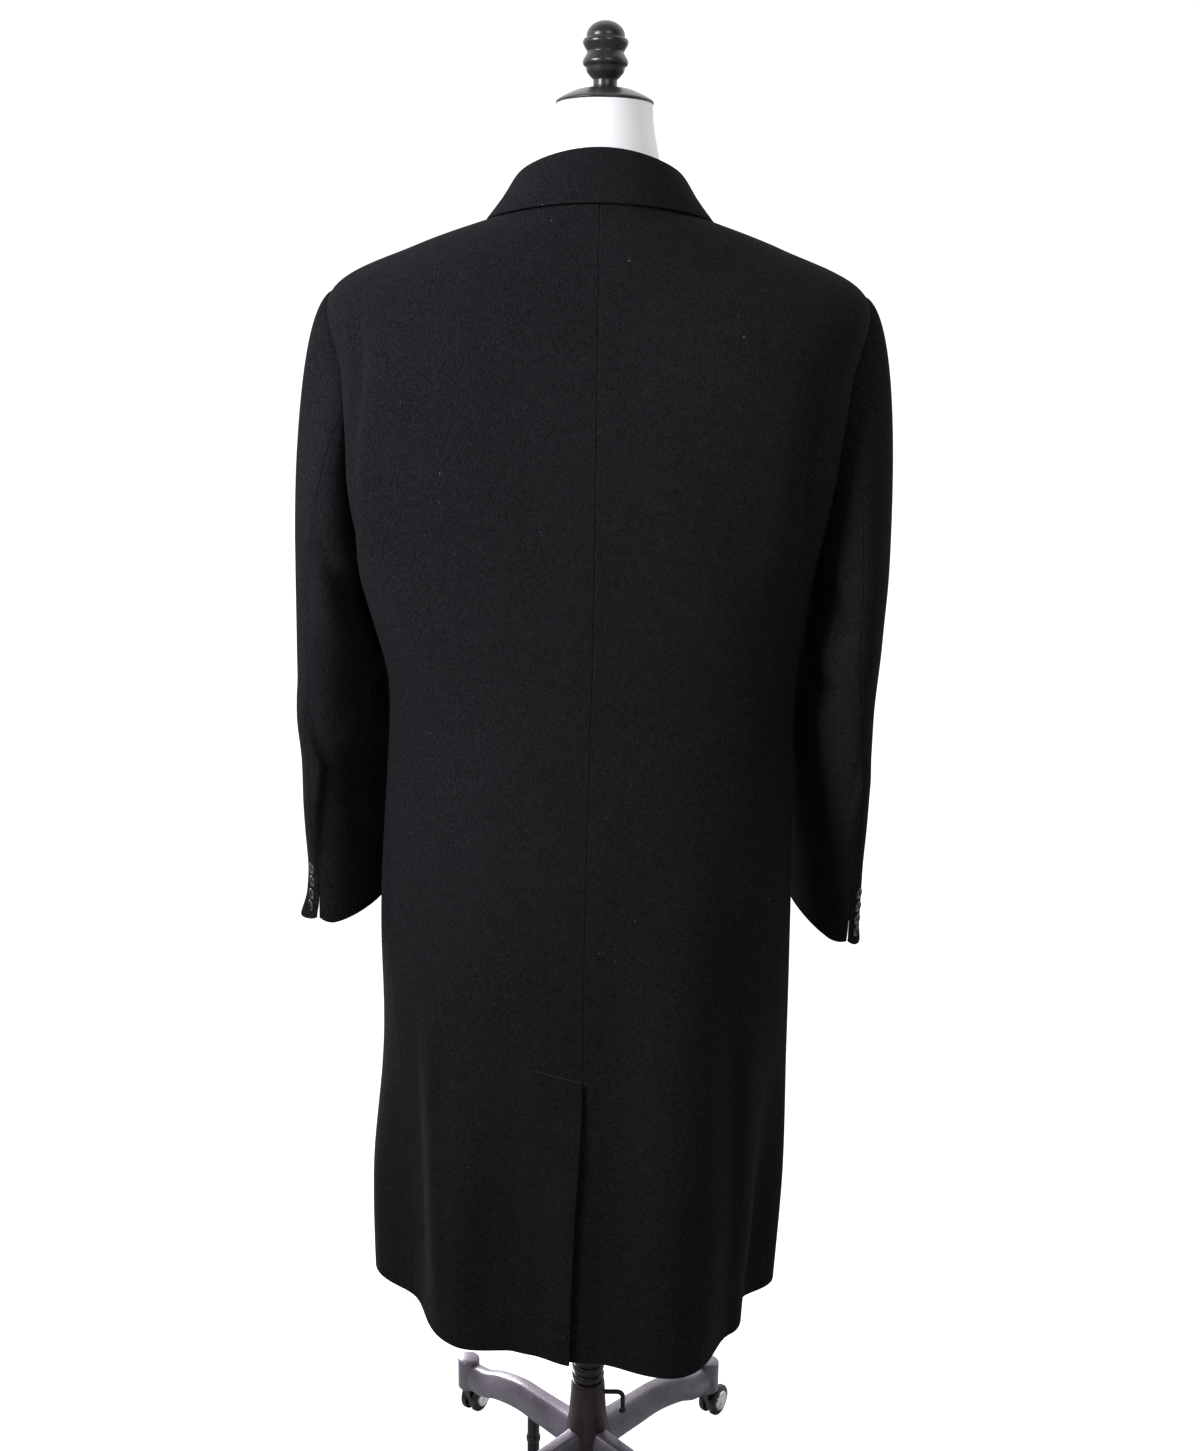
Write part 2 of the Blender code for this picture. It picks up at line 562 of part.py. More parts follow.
def front_edge_angle(side, place):
    lap = math.pi + angle_for(FRONT_LAP, math.pi, min(place, ARMPIT))
    if place <= place_at_height(BREAK[1]):
        return lap
    return min(lap, roll_angle(side, place))


def body_places():
    """The rings at which every panel has a row of points."""
    places = [place_at_height(height) for height in SKIRT_HEIGHTS]
    for row in range(ARMHOLE_ROWS):
        places.append(mix(ARMPIT, SHOULDER_TIP, armhole_share(row)))
    for row in range(SHOULDER_ROWS + 1):
        places.append(mix(SHOULDER_TIP, NECKLINE, row / SHOULDER_ROWS))
    return places


def panel(name, side, first, last, shares, lift, first_shift=None, last_shift=None,
          distances=()):
    """A panel between two angles that change with the ring. The lift raises its points.

    Its columns stand at shares of its width. Where distances are given, the last columns stand at
    those distances from its last edge. A shift is (a function of the ring, a reach): it moves an
    edge on by the function's angle, and takes along the columns within that share of the width.
    """
    grid = []
    for place in body_places():
        start, end = first(place), last(place)
        steps = [angle_for(distance, end, place) for distance in distances] or [0.0]
        fit = min(1.0, 0.5 * (end - start) / steps[0]) if distances else 1.0
        angles = [mix(start, end - fit * steps[0], share) for share in shares]
        angles += [end - fit * step for step in steps if distances]
        row = []
        for angle in angles:
            share = (angle - start) / (end - start)
            for shift, away in ((first_shift, share), (last_shift, 1.0 - share)):
                if shift and away < shift[1]:
                    angle += shift[0](place) * (1.0 - away / shift[1])
            normal = body_normal(side * angle, place)
            point = body_point(side * angle, place)
            row.append((point + normal * lift(side * angle, place), normal))
        grid.append(row)
    return wall(name, grid, CLOTH, "black wool coating")


def no_lift(angle, place):
    return 0.0


def middle_back(place):
    return angle_for(SEAM / 2, 0.0, place)


def under_flap(place):
    """How far the right back carries on beyond the middle seam, under the left at the vent."""
    height = row_at(BODY, place).z_side
    share = min(max((VENT_TOP - height) / VENT_SLANT, 0.0), 1.0)
    return -angle_for(VENT_LAP, 0.0, place) * share


def build_body():
    def back_end(place):
        return seam_between_back_and_front(place, True)

    def front_start(place):
        return seam_between_back_and_front(place, False)

    back_armhole = (lambda place: -armhole_half_angle(place), ARMHOLE_REACH)
    front_armhole = (armhole_half_angle, ARMHOLE_REACH)
    panel("back_left", 1, middle_back, back_end, BACK_SHARES, vent_lift, None, back_armhole)
    panel("back_right", -1, middle_back, back_end, BACK_SHARES, no_lift,
          (under_flap, FLAP_REACH), back_armhole)
    panel("front_left", 1, front_start, lambda place: front_edge_angle(1, place), FRONT_SHARES,
          front_lift, front_armhole, None, EDGE_DISTANCES)
    panel("front_right", -1, front_start, lambda place: front_edge_angle(-1, place),
          FRONT_SHARES, no_lift, front_armhole, None, EDGE_DISTANCES)


def build_lapel(name, side):
    """The turned-back facing, from the break up to the gorge, lying on its front."""
    rows, columns = 12, 5
    grid = []
    for j in range(rows + 1):
        share = mix(LAPEL_STARTS[side], 1.0, j / rows)
        fold_rise = LAPEL_ROLL_RISE * smooth(share / LAPEL_ROLL_GROWS)
        roll = [mix(BREAK[k], LAPEL_ROLL_TOP[k], share) for k in (0, 1)]
        edge = [mix(BREAK[k], LAPEL_TIP[k], share) for k in (0, 1)]
        edge[0] += LAPEL_BELLY * math.sin(math.pi * share)
        if side < 0:
            # The right lapel comes out from under the left front's edge, which it crosses.
            roll[0] = max(roll[0], UNDER_LEFT_EDGE - roll[0])
        row = []
        for i in range(columns + 1):
            x, z = mix(roll[0], edge[0], i / columns), mix(roll[1], edge[1], i / columns)
            angle, place = on_front(side * x + COAT_SHIFT, z)
            if side < 0 and angle > 0:
                angle -= math.tau
            normal = body_normal(angle, place)
            lift = front_lift(angle, place) if side > 0 else 0.0
            rise = LAP + FACING + fold_rise * (1.0 - i / columns) ** 2
            row.append((body_point(angle, place) + normal * (lift + rise), normal))
        grid.append(row)
    return wall(name, grid, FACING, "black wool coating")


# ---------------------------------------------------------------- the collar
def collar_point(along, place):
    """A point of the collar: along runs from -1 at its right end to 1 at its left."""
    strip = row_at(COLLAR, place)
    side, share = math.copysign(1.0, along), abs(along)
    if share <= COLLAR_SIDE_SHARE:
        angle = math.pi / 2 * share / COLLAR_SIDE_SHARE
        x, y = strip.half_width * math.sin(angle), strip.y_back * math.cos(angle)
        z = mix(strip.z_side, strip.z_back, math.cos(angle) ** 2)
    else:
        front = (share - COLLAR_SIDE_SHARE) / (1.0 - COLLAR_SIDE_SHARE)
        x, y = mix(strip.half_width, strip.x_end, front ** 2), strip.y_end * front
        z = mix(strip.z_side, strip.z_end, 0.25 * front + 0.75 * front ** 2)
    return Vector((side * x + COAT_SHIFT, y, z))


def collar_normal(along, place):
    low, high = max(along - TINY, -1.0), min(along + TINY, 1.0)
    around = collar_point(high, place) - collar_point(low, place)
    over = collar_point(along, place + TINY) - collar_point(along, place - TINY)
    return around.cross(over).normalized()


def build_collar():
    grid = []
    for place in COLLAR_PLACES:
        row = []
        for i in range(COLLAR_COLUMNS + 1):
            along = 2.0 * i / COLLAR_COLUMNS - 1.0
            row.append((collar_point(along, place), collar_normal(along, place)))
        grid.append(row)
    return wall("collar", grid, FACING, "black wool coating")


# ---------------------------------------------------------------- the sleeves
def armhole_point(side, turn):
    """A point of the sleeve's cap edge. A turn of 0 is the armpit, 0.25 the back, 0.5 the tip."""
    turn %= 1.0
    share = armhole_share(SLEEVE_COLUMNS * min(turn, 1.0 - turn))
    place = mix(ARMPIT, SHOULDER_TIP, share)
    swing = math.copysign(armhole_half_angle(place), 0.5 - turn)
    angle = side * (math.pi / 2 - swing)
    edge = body_point(angle, place)
    middle = body_point(side * math.pi / 2, (ARMPIT + SHOULDER_TIP) / 2)
    low = 1.0 - share
    edge += (middle - edge).normalized() * SEAM + cap_direction(side, turn) * SEAM
    return edge + body_normal(angle, place) * ARMPIT_CLEARANCE * low


def cap_direction(side, turn):
    """The way the cap leaves its armhole: down at the armpit, outward at the shoulder."""
    low = ((1.0 + math.cos(math.tau * turn)) / 2) ** 1.5
    return Vector((side * (1.0 - ARMPIT_TURNS_DOWN * low), CAP_SWING * math.sin(math.tau * turn),
                   -mix(CAP_DROOP, 1.0, low))).normalized()


def ring_point(side, turn, place):
    """A point of the sleeve below the cap, at a fractional place among its rings."""
    ring = row_at(SLEEVES[side], place)
    column = (turn % 1.0) * SLEEVE_COLUMNS
    knots = ((0, 0.0), (HIND_SEAM_COLUMN, ring.seam_angle), (SLEEVE_COLUMNS / 2, OUTER_ANGLE),
             (FORE_SEAM_COLUMN, FORE_SEAM_ANGLE), (SLEEVE_COLUMNS, 360.0))
    for (k0, a0), (k1, a1) in zip(knots, knots[1:]):
        if k0 <= column <= k1:
            angle = math.radians(mix(a0, a1, (column - k0) / (k1 - k0)))
    tilt, yaw = math.radians(ring.tilt), math.radians(ring.yaw)
    outward, back = -ring.half_x * math.cos(angle), ring.half_y * math.sin(angle)
    level = back * math.cos(tilt)
    return Vector((side * (ring.x_mid + outward * math.cos(yaw) + level * math.sin(yaw)),
                   ring.y_mid + level * math.cos(yaw) - outward * math.sin(yaw),
                   ring.z - back * math.sin(tilt)))


def sleeve_point(side, turn, along):
    """A point of a sleeve's show face: along runs 0 to 1 down the cap, then ring by ring."""
    if along >= 1.0:
        return ring_point(side, turn, along - 1.0)
    start, end = armhole_point(side, turn), ring_point(side, turn, 0.0)
    length = (end - start).length
    leave = cap_direction(side, turn) * length * CAP_LEAVES
    arrive = (ring_point(side, turn, 0.1) - end).normalized() * length * CAP_ARRIVES
    t = along
    return (start * (2 * t ** 3 - 3 * t * t + 1) + leave * (t ** 3 - 2 * t * t + t)
            + end * (3 * t * t - 2 * t ** 3) + arrive * (t ** 3 - t * t))


def sleeve_normal(side, turn, along):
    last = len(SLEEVES[side])
    around = sleeve_point(side, turn + TINY, along) - sleeve_point(side, turn - TINY, along)
    low, high = max(along - TINY, 0.0), min(along + TINY, last)
    down = sleeve_point(side, turn, high) - sleeve_point(side, turn, low)
    return around.cross(down).normalized() * side


def build_sleeve_piece(name, side, first, last):
    """One of a sleeve's two pieces, between two columns of its points."""
    rings = len(SLEEVES[side]) - 1
    alongs = list(CAP_ROWS)
    alongs += [1.0 + rings * row / RING_STEPS for row in range(RING_STEPS + 1)]
    hind_turn = HIND_SEAM_COLUMN / SLEEVE_COLUMNS
    grid = []
    for along in alongs:
        row = []
        for column in range(first, last + 1):
            turn = column / SLEEVE_COLUMNS
            reach = (sleeve_point(side, turn + TINY, along)
                     - sleeve_point(side, turn - TINY, along)).length / (2 * TINY)
            if column == first:
                turn += SEAM / 2 / reach
            if column == last:
                turn -= SEAM / 2 / reach
            here = along
            if along == alongs[-1] and abs(turn % 1.0 - hind_turn) < 0.02:
                here -= CUFF_NOTCH
            row.append((sleeve_point(side, turn, here), sleeve_normal(side, turn, here)))
        grid.append(row)
    return wall(name, grid, CLOTH, "black wool coating")


def build_sleeves():
    for side, hand in ((1, "left"), (-1, "right")):
        build_sleeve_piece(f"top_sleeve_{hand}", side, HIND_SEAM_COLUMN, FORE_SEAM_COLUMN)
        build_sleeve_piece(f"under_sleeve_{hand}", side, FORE_SEAM_COLUMN,
                           SLEEVE_COLUMNS + HIND_SEAM_COLUMN)


# ---------------------------------------------------------------- the buttons
def build_button(name, radius, point, normal, steps):
    profile = [(across * radius, height * radius) for across, height in BUTTON_OUTLINE]
    button = turned(name, profile, "dark horn", steps)
    button.matrix_world = Matrix.Translation(point) @ facing(normal)
    return button


def build_buttons():
    for number, height in enumerate(BUTTON_HEIGHTS, 1):
        angle, place = on_front(0.0, height)
        normal = body_normal(angle, place)
        point = body_point(angle, place) + normal * (front_lift(angle, place) + BUTTON_STANDS_OFF)
        build_button(f"front_button_{number}", BUTTON_RADIUS, point, normal,
                     FRONT_BUTTON_SIDES)
    for side, hand in ((1, "left"), (-1, "right")):
        rings = SLEEVES[side]
        cuff_along = float(len(rings))
        for number in range(1, 5):
            rise = CUFF_BUTTON_FIRST + (number - 1) * CUFF_BUTTON_PITCH
            along = cuff_along - rise / (rings[-2].z - rings[-1].z)
            turn = HIND_SEAM_COLUMN / SLEEVE_COLUMNS
            reach = (sleeve_point(side, turn + 0.01, along)
                     - sleeve_point(side, turn + TINY, along)).length / 0.01
            turn += CUFF_BUTTON_FROM_VENT / reach
            normal = sleeve_normal(side, turn, along)
            point = sleeve_point(side, turn, along) + normal * BUTTON_STANDS_OFF
            build_button(f"cuff_button_{hand}_{number}", CUFF_BUTTON_RADIUS, point, normal,
                         CUFF_BUTTON_SIDES)


# ---------------------------------------------------------------- the dress form
def build_form():
    rings = []
    for inset in FORM_INSETS:
        ring = []
        for column in range(FORM_COLUMNS):
            angle = math.tau * column / FORM_COLUMNS
            normal = body_normal(angle, inset.place, folded=False)
            ring.append(body_point(angle, inset.place, folded=False) - normal * inset.depth)
        rings.append(ring)
    for point in rings[0]:
        point.z = FORM_BOTTOM
    for height, half_width, half_depth in NECK_RINGS:
        rings.append([Vector((half_width * math.sin(math.tau * k / FORM_COLUMNS),
                              half_depth * math.cos(math.tau * k / FORM_COLUMNS), height))
                      for k in range(FORM_COLUMNS)])
    loft("form_torso", rings, "white jersey")
    turned("neck_cap", [(radius, NECK_CAP_BOTTOM + height) for radius, height in NECK_CAP_OUTLINE],
           "black wood", FORM_COLUMNS)
    build_finial(NECK_CAP_BOTTOM + NECK_CAP_TOP + SEAM)
    plate = FORM_BOTTOM - SEAM
    turned("form_socket", [(radius, plate - depth) for radius, depth in SOCKET_PLATE]
           + [(SOCKET_TUBE_RADIUS, plate - SOCKET_DEPTH), (BORE_RADIUS, plate - SOCKET_DEPTH),
              (BORE_RADIUS, POLE_TOP + SEAM), (0, POLE_TOP + SEAM)], "black steel")


def build_finial(bottom):
    """The turned knob on the neck cap, with a dome on top."""
    profile = [(DOME_RADIUS * math.sin(math.radians(a)),
                bottom + DOME_FOOT + DOME_HEIGHT * math.cos(math.radians(a)))
               for a in DOME_ANGLES]
    profile += [(radius, bottom + height) for radius, height in FINIAL_OUTLINE]
    turned("finial", profile, "black wood", 16)


# ---------------------------------------------------------------- the stand
def build_leg_helpers(name, yaw):
    """A leg's beam and the round boss at its end."""
    turn = Matrix.Rotation(math.radians(yaw), 4, "Z")
    rings = []
    for beam in LEG:
        half, depth = beam.width / 2, beam.top - beam.bottom
        outline = [(half * share, up) for share, up in LEG_HALF_SECTION]
        outline += [(-half * share, up) for share, up in reversed(LEG_HALF_SECTION)]
        rings.append([turn @ Vector((beam.distance, across, beam.bottom + up * depth))
                      for across, up in outline])
    leg = loft(f"leg_{name}", rings, helper=True)
    boss = turned(f"boss_{name}",
                  [(share * BOSS_RADIUS, BOSS_TOP + rise) for share, rise in BOSS_DOME]
                  + [(BOSS_RADIUS, BOSS_BOTTOM), (0, BOSS_BOTTOM)], steps=14, helper=True)
    socket = drum(f"socket_{name}", STEM_RADIUS + SEAM, BOSS_BOTTOM - 0.01, STEM_TOP + SEAM)
    place = turn @ Vector((BOSS_DISTANCE, 0, 0))
    boss.location = socket.location = place
    return leg, boss, socket


def build_foot():
    casting = turned("base_casting", (
        (0, POLE_BOTTOM - SEAM), (BORE_RADIUS, POLE_BOTTOM - SEAM), (BORE_RADIUS, HUB_TOP),
        *HUB_OUTLINE), "grey casting")
    legs, bosses, sockets = zip(*[build_leg_helpers(name, yaw)
                                  for name, yaw in LEG_ANGLES.items()])
    screw_hole = drum("screw_hole", LEVER_RADIUS + SEAM, SCREW_HOLE_FROM, SCREW_HOLE_TO)
    screw_hole.matrix_world = Matrix.Translation((0, 0, LEVER_HEIGHT)) @ facing((-1, 0, 0))
    combine(casting, "UNION", legs + bosses)
    combine(casting, "DIFFERENCE", sockets + (screw_hole,))

    ribs = []
    low = HUB_TOP + SEAM
    pitch = (COLLAR_TOP - low) / RIB_COUNT
    for rib in range(RIB_COUNT):
        top = COLLAR_TOP - rib * pitch
        ribs += [(RIB_IN, top), (RIB_OUT, top - RIB_FLAT_FROM * pitch),
                 (RIB_OUT, top - RIB_FLAT_TO * pitch)]
    turned("ribbed_collar", [(BORE_RADIUS, COLLAR_TOP)] + ribs + [(RIB_IN, low), (BORE_RADIUS, low)],
           "black plastic")
    turned("pole", ((0, POLE_TOP), (POLE_RADIUS - 0.001, POLE_TOP), (POLE_RADIUS, POLE_TOP - 0.001),
                    (POLE_RADIUS, POLE_BOTTOM), (0, POLE_BOTTOM)), "black steel")
    build_lever()
    build_post()


def build_lever():
    """The clamp screw's bent handle with a ball at its end. Its origin is on the screw's axis."""
    route = [((-LEVER_FROM, 0, 0), 1.0), ((-LEVER_REACH + LEVER_BEND, 0, 0), 1.0)]
    for step in BEND_STEPS:
        a = math.radians(step)
        route.append(((-LEVER_REACH + LEVER_BEND * (1 - math.sin(a)), 0,
                       -LEVER_BEND * (1 - math.cos(a))), 1.0))
    route.append(((-LEVER_REACH, 0, -LEVER_DROP + BALL_NECK * BALL_RADIUS), 1.0))
    for step in BALL_STEPS:
        a = math.radians(step)
        route.append(((-LEVER_REACH, 0, -LEVER_DROP + BALL_RADIUS * math.cos(a)),
                      math.sin(a) * BALL_RADIUS / LEVER_RADIUS))
    curve = bpy.data.curves.new("clamp_lever", "CURVE")
    curve.dimensions = "3D"
    curve.bevel_depth = LEVER_RADIUS
    curve.bevel_resolution = 2
    curve.use_fill_caps = True
    spline = curve.splines.new("POLY")
    spline.points.add(len(route) - 1)
    for point, (place, size) in zip(spline.points, route):
        point.co = (*place, 1.0)
        point.radius = size
    lever = bpy.data.objects.new("clamp_lever", curve)
    TOPCOAT.objects.link(lever)
    curve.materials.append(finish("black steel"))
    lever.location = (0, 0, LEVER_HEIGHT)


def build_post():
    """The short post under the left front leg, with a rubber ring near its lower end."""
    yaw = math.radians(LEG_ANGLES["left_front"])
    place = (POST_DISTANCE * math.cos(yaw), POST_DISTANCE * math.sin(yaw), 0.0)
    post = turned("leg_post", (
        (0, POST_TOP), (POST_RADIUS, POST_TOP), (POST_RADIUS, GROOVE_TOP),
        (GROOVE_RADIUS, GROOVE_TOP), (GROOVE_RADIUS, GROOVE_LOW), (POST_RADIUS, GROOVE_LOW),
        (POST_RADIUS, POST_FOOT + POST_CHAMFER), (POST_RADIUS - POST_CHAMFER, POST_FOOT),
        (0, POST_FOOT)), "grey casting", POST_SIDES)
    inner = GROOVE_RADIUS + SEAM
    ring = turned("post_ring", (
        (inner, GROOVE_TOP - SEAM), (POST_RADIUS + RING_EDGE, GROOVE_TOP - SEAM),
        (POST_RADIUS + RING_BULGE, (GROOVE_TOP + GROOVE_LOW) / 2),
        (POST_RADIUS + RING_EDGE, GROOVE_LOW + SEAM), (inner, GROOVE_LOW + SEAM)),
        "black plastic", POST_SIDES)
    post.location = ring.location = place


# ---------------------------------------------------------------- the casters
def build_caster(name):
    """A twin-wheel caster: its stem turns in the leg's boss, and its wheels turn on a housing."""
    leg_yaw, trail_yaw = math.radians(LEG_ANGLES[name]), math.radians(CASTER_YAWS[name])
    stem = Vector((BOSS_DISTANCE * math.cos(leg_yaw), BOSS_DISTANCE * math.sin(leg_yaw), 0.0))
    trail = Vector((math.cos(trail_yaw), math.sin(trail_yaw), 0.0))
    axle = Vector((-trail.y, trail.x, 0.0))
    half_side = math.pi / WHEEL_SIDES
    hub_height = WHEEL_RADIUS * math.cos(half_side)
    hub = stem + trail * CASTER_TRAIL + Vector((0, 0, hub_height))

    down = Matrix.Rotation(half_side, 4, axle) @ Vector((0, 0, -1))
    wheel_turn = Matrix((down, axle.cross(down), axle)).transposed().to_4x4()
    half, inner, radius = WHEEL_HALF_WIDTH, WHEEL_INNER, WHEEL_RADIUS
    edge = ((0, half), (radius - TREAD_CHAMFER, half), (radius, half - TREAD_SIDE),
            (radius, inner), (AXLE_RADIUS, inner))
    wheels = turned(f"caster_wheels_{name}",
                    edge + tuple((r, -h) for r, h in reversed(edge)), "black plastic", WHEEL_SIDES)
    wheels.matrix_world = Matrix.Translation(hub) @ wheel_turn

    for label, way in (("a", 1), ("b", -1)):
        disc = turned(f"caster_disc_{label}_{name}", DISC_OUTLINE, "bright disc", WHEEL_SIDES)
        disc.matrix_world = (Matrix.Translation(hub + axle * way * (half + SEAM))
                             @ facing(axle * way))

    build_caster_housing(name, stem, trail, axle, hub)
    if name == "left_front":
        build_brake_tab(trail, axle, hub)


def build_caster_housing(name, stem, trail, axle, hub):
    """The plate between the wheels, the collar under the boss, and the stem."""
    half_plate = WHEEL_INNER - SEAM
    frame = Matrix((trail, axle, Vector((0, 0, 1)))).transposed().to_4x4()
    low_collar = hub.z + WHEEL_RADIUS + WHEEL_CLEARANCE
    housing = turned(f"caster_housing_{name}",
                     ((0, STEM_TOP), (STEM_RADIUS - STEM_CHAMFER, STEM_TOP),
                      (STEM_RADIUS, STEM_TOP - STEM_CHAMFER_DEPTH),
                      (STEM_RADIUS, BOSS_BOTTOM - SEAM), (HOUSING_TOP, BOSS_BOTTOM - SEAM),
                      (HOUSING_SHOULDER, BOSS_BOTTOM - SHOULDER_DROP),
                      (HOUSING_FOOT, low_collar), (0, low_collar)), "black plastic", 12)
    housing.matrix_world = Matrix.Translation(stem)
    top = low_collar + PLATE_OVERLAP
    sides = [(CASTER_TRAIL - PLATE_RADIUS, hub.z),
             (CASTER_TRAIL - PLATE_REAR, hub.z + PLATE_REAR_RISE),
             (CASTER_TRAIL - PLATE_REAR, top), (CASTER_TRAIL, top)]
    for step in range(1, PLATE_ARC_STEPS):
        a = math.radians(90 - PLATE_ARC * step / PLATE_ARC_STEPS)
        sides.append((CASTER_TRAIL + PLATE_RADIUS * math.cos(a),
                      hub.z + PLATE_RADIUS * math.sin(a)))
    rings = [[stem + frame @ Vector((x, way * half_plate, z)) for x, z in sides]
             for way in (-1, 1)]
    plate = loft(f"plate_{name}", rings, helper=True)
    bore = drum(f"bore_{name}", AXLE_RADIUS + SEAM, -0.02, 0.02)
    bore.matrix_world = Matrix.Translation(hub) @ facing(axle)
    combine(housing, "UNION", [plate])
    combine(housing, "DIFFERENCE", [bore])


def build_brake_tab(trail, axle, hub):
    """The toe tab that rocks on the housing's rear edge. Its origin is on its pin."""
    rise = math.radians(TAB_RISE)
    out = trail * math.cos(rise) + Vector((0, 0, math.sin(rise)))
    up = axle.cross(out) * -1.0
    pin = hub + out * TAB_PIN
    rings = [[out * reach + axle * across + up * height for reach, across in TAB_OUTLINE]
             for height in (-TAB_HALF_THICKNESS, TAB_HALF_THICKNESS)]
    tab = loft("brake_tab", rings, "black plastic")
    tab.location = pin


build_body()
build_lapel("lapel_left", 1)
build_lapel("lapel_right", -1)
build_collar()
build_sleeves()
build_buttons()
build_form()
build_foot()
for caster_name in LEG_ANGLES:
    build_caster(caster_name)
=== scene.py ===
"""The looks of a man's black wool topcoat on a limbless dress form with a rolling stand.

Metres, +Z up, the origin on the floor under the column. The coat's front faces -Y, and the wearer's
left is +X. Each maker's piece of cloth is a thin shell of its own that stands for its CAD node.
"""

import itertools
import logging
import math
from dataclasses import dataclass, field
from enum import Enum
from typing import Callable, NamedTuple, Sequence

import bmesh
import bpy
import numpy as np
from mathutils import Matrix, Vector


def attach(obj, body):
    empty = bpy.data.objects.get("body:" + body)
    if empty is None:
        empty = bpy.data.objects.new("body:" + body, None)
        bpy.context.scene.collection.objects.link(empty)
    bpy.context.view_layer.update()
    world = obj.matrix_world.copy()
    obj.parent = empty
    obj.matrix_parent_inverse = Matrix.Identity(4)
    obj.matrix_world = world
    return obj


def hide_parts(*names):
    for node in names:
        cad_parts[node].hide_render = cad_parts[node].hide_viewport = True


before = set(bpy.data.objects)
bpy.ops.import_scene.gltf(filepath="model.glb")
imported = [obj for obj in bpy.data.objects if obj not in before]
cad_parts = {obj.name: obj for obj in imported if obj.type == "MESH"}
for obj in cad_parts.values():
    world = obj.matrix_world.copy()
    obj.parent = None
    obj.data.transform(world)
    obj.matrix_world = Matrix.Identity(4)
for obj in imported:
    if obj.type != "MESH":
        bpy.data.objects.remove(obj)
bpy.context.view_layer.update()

LOG = logging.getLogger("topcoat")
Array = np.ndarray
TINY = 1e-4


# ---------------------------------------------------------------- numbers and curves
def smooth(value: Array) -> Array:
    """A value eased from 0 to 1 with a level start and end."""
    value = np.clip(value, 0.0, 1.0)
    return value * value * (3.0 - 2.0 * value)


def mix(first: Array, second: Array, share: Array) -> Array:
    """The value at a share of the way from first to second."""
    return first + (second - first) * share


def unit(vectors: Array) -> Array:
    """The vectors at length 1."""
    return vectors / np.maximum(np.linalg.norm(vectors, axis=-1, keepdims=True), 1e-12)


def between(points: Sequence[Array], t: Array) -> Array:
    """The smooth curve between the middle two of four points in a row.

    Args:
        points: the four points.
        t: the share of the way from the second to the third.

    Returns:
        The curve's points.
    """
    before, here, there, after = points
    return (before * (-0.5 * t + t * t - 0.5 * t ** 3)
            + here * (1.0 - 2.5 * t * t + 1.5 * t ** 3)
            + there * (0.5 * t + 2.0 * t * t - 1.5 * t ** 3)
            + after * (-0.5 * t * t + 0.5 * t ** 3))


def bridge(t: Array, start: Array, leave: Array, end: Array, arrive: Array) -> Array:
    """The curve from a start to an end with a slope of its own at each.

    Args:
        t: the share of the way.
        start: where it starts.
        leave: its slope there.
        end: where it ends.
        arrive: its slope there.

    Returns:
        The curve's points.
    """
    return (start * (2 * t ** 3 - 3 * t * t + 1) + leave * (t ** 3 - 2 * t * t + t)
            + end * (3 * t * t - 2 * t ** 3) + arrive * (t ** 3 - t * t))


def through(rows: Sequence[NamedTuple], column: str, place: Array) -> Array:
    """Reads one column of a table on a smooth curve through its rows.

    Args:
        rows: the table.
        column: the column's name.
        place: fractional row numbers.

    Returns:
        The column's values at the places.
    """
    values = np.array([getattr(row, column) for row in rows], float)
    place = np.clip(place, 0.0, len(values) - 1.0)
    low = np.minimum(np.asarray(place).astype(int), len(values) - 2)
    t = place - low
    return between([values[np.clip(low + k, 0, len(values) - 1)] for k in (-1, 0, 1, 2)], t)


def soft_noise(points: Array, pitch: Sequence[float], seed: int) -> Array:
    """Smooth noise from -1 to 1 that depends only on a point's place.

    Args:
        points: places in metres.
        pitch: the noise's cell along X, Y and Z.
        seed: the number that fixes the noise.

    Returns:
        One value for each point.
    """
    draws = np.random.default_rng(seed)
    heights, order = draws.uniform(-1.0, 1.0, 256), draws.permutation(256)
    scaled = points / np.array(pitch)
    cell = np.floor(scaled).astype(int)
    t = scaled - cell
    t = t * t * (3.0 - 2.0 * t)
    total = np.zeros(points.shape[:-1])
    for corner in itertools.product((0, 1), repeat=3):
        index = np.zeros(points.shape[:-1], int)
        weight = np.ones(points.shape[:-1])
        for axis, step in enumerate(corner):
            index = order[(index + cell[..., axis] + step) & 255]
            weight = weight * (t[..., axis] if step else 1.0 - t[..., axis])
        total += heights[index] * weight
    return total


# ---------------------------------------------------------------- nodes and objects
def feed(tree: bpy.types.NodeTree, socket: bpy.types.NodeSocket, value: object) -> None:
    """Fills a node's input.

    Args:
        tree: the node's tree.
        socket: the input.
        value: the input's value, or the socket to link to it.
    """
    if isinstance(value, bpy.types.NodeSocket):
        tree.links.new(value, socket)
    else:
        socket.default_value = value


def maths(tree: bpy.types.NodeTree, operation: str, first: object, second: object
          ) -> bpy.types.NodeSocket:
    """Adds a Math node.

    Args:
        tree: the tree that it goes into.
        operation: the node's operation.
        first: its first number or socket.
        second: its second number or socket.

    Returns:
        The result's socket.
    """
    node = tree.nodes.new("ShaderNodeMath")
    node.operation = operation
    for socket, value in zip(node.inputs, (first, second)):
        feed(tree, socket, value)
    return node.outputs[0]


def placed(name: str, data: bpy.types.ID) -> bpy.types.Object:
    """Puts a mesh, a light or a camera into the scene, at the origin.

    Args:
        name: the object's name.
        data: what it shows.

    Returns:
        The object.
    """
    piece = bpy.data.objects.new(name, data)
    bpy.context.scene.collection.objects.link(piece)
    return piece


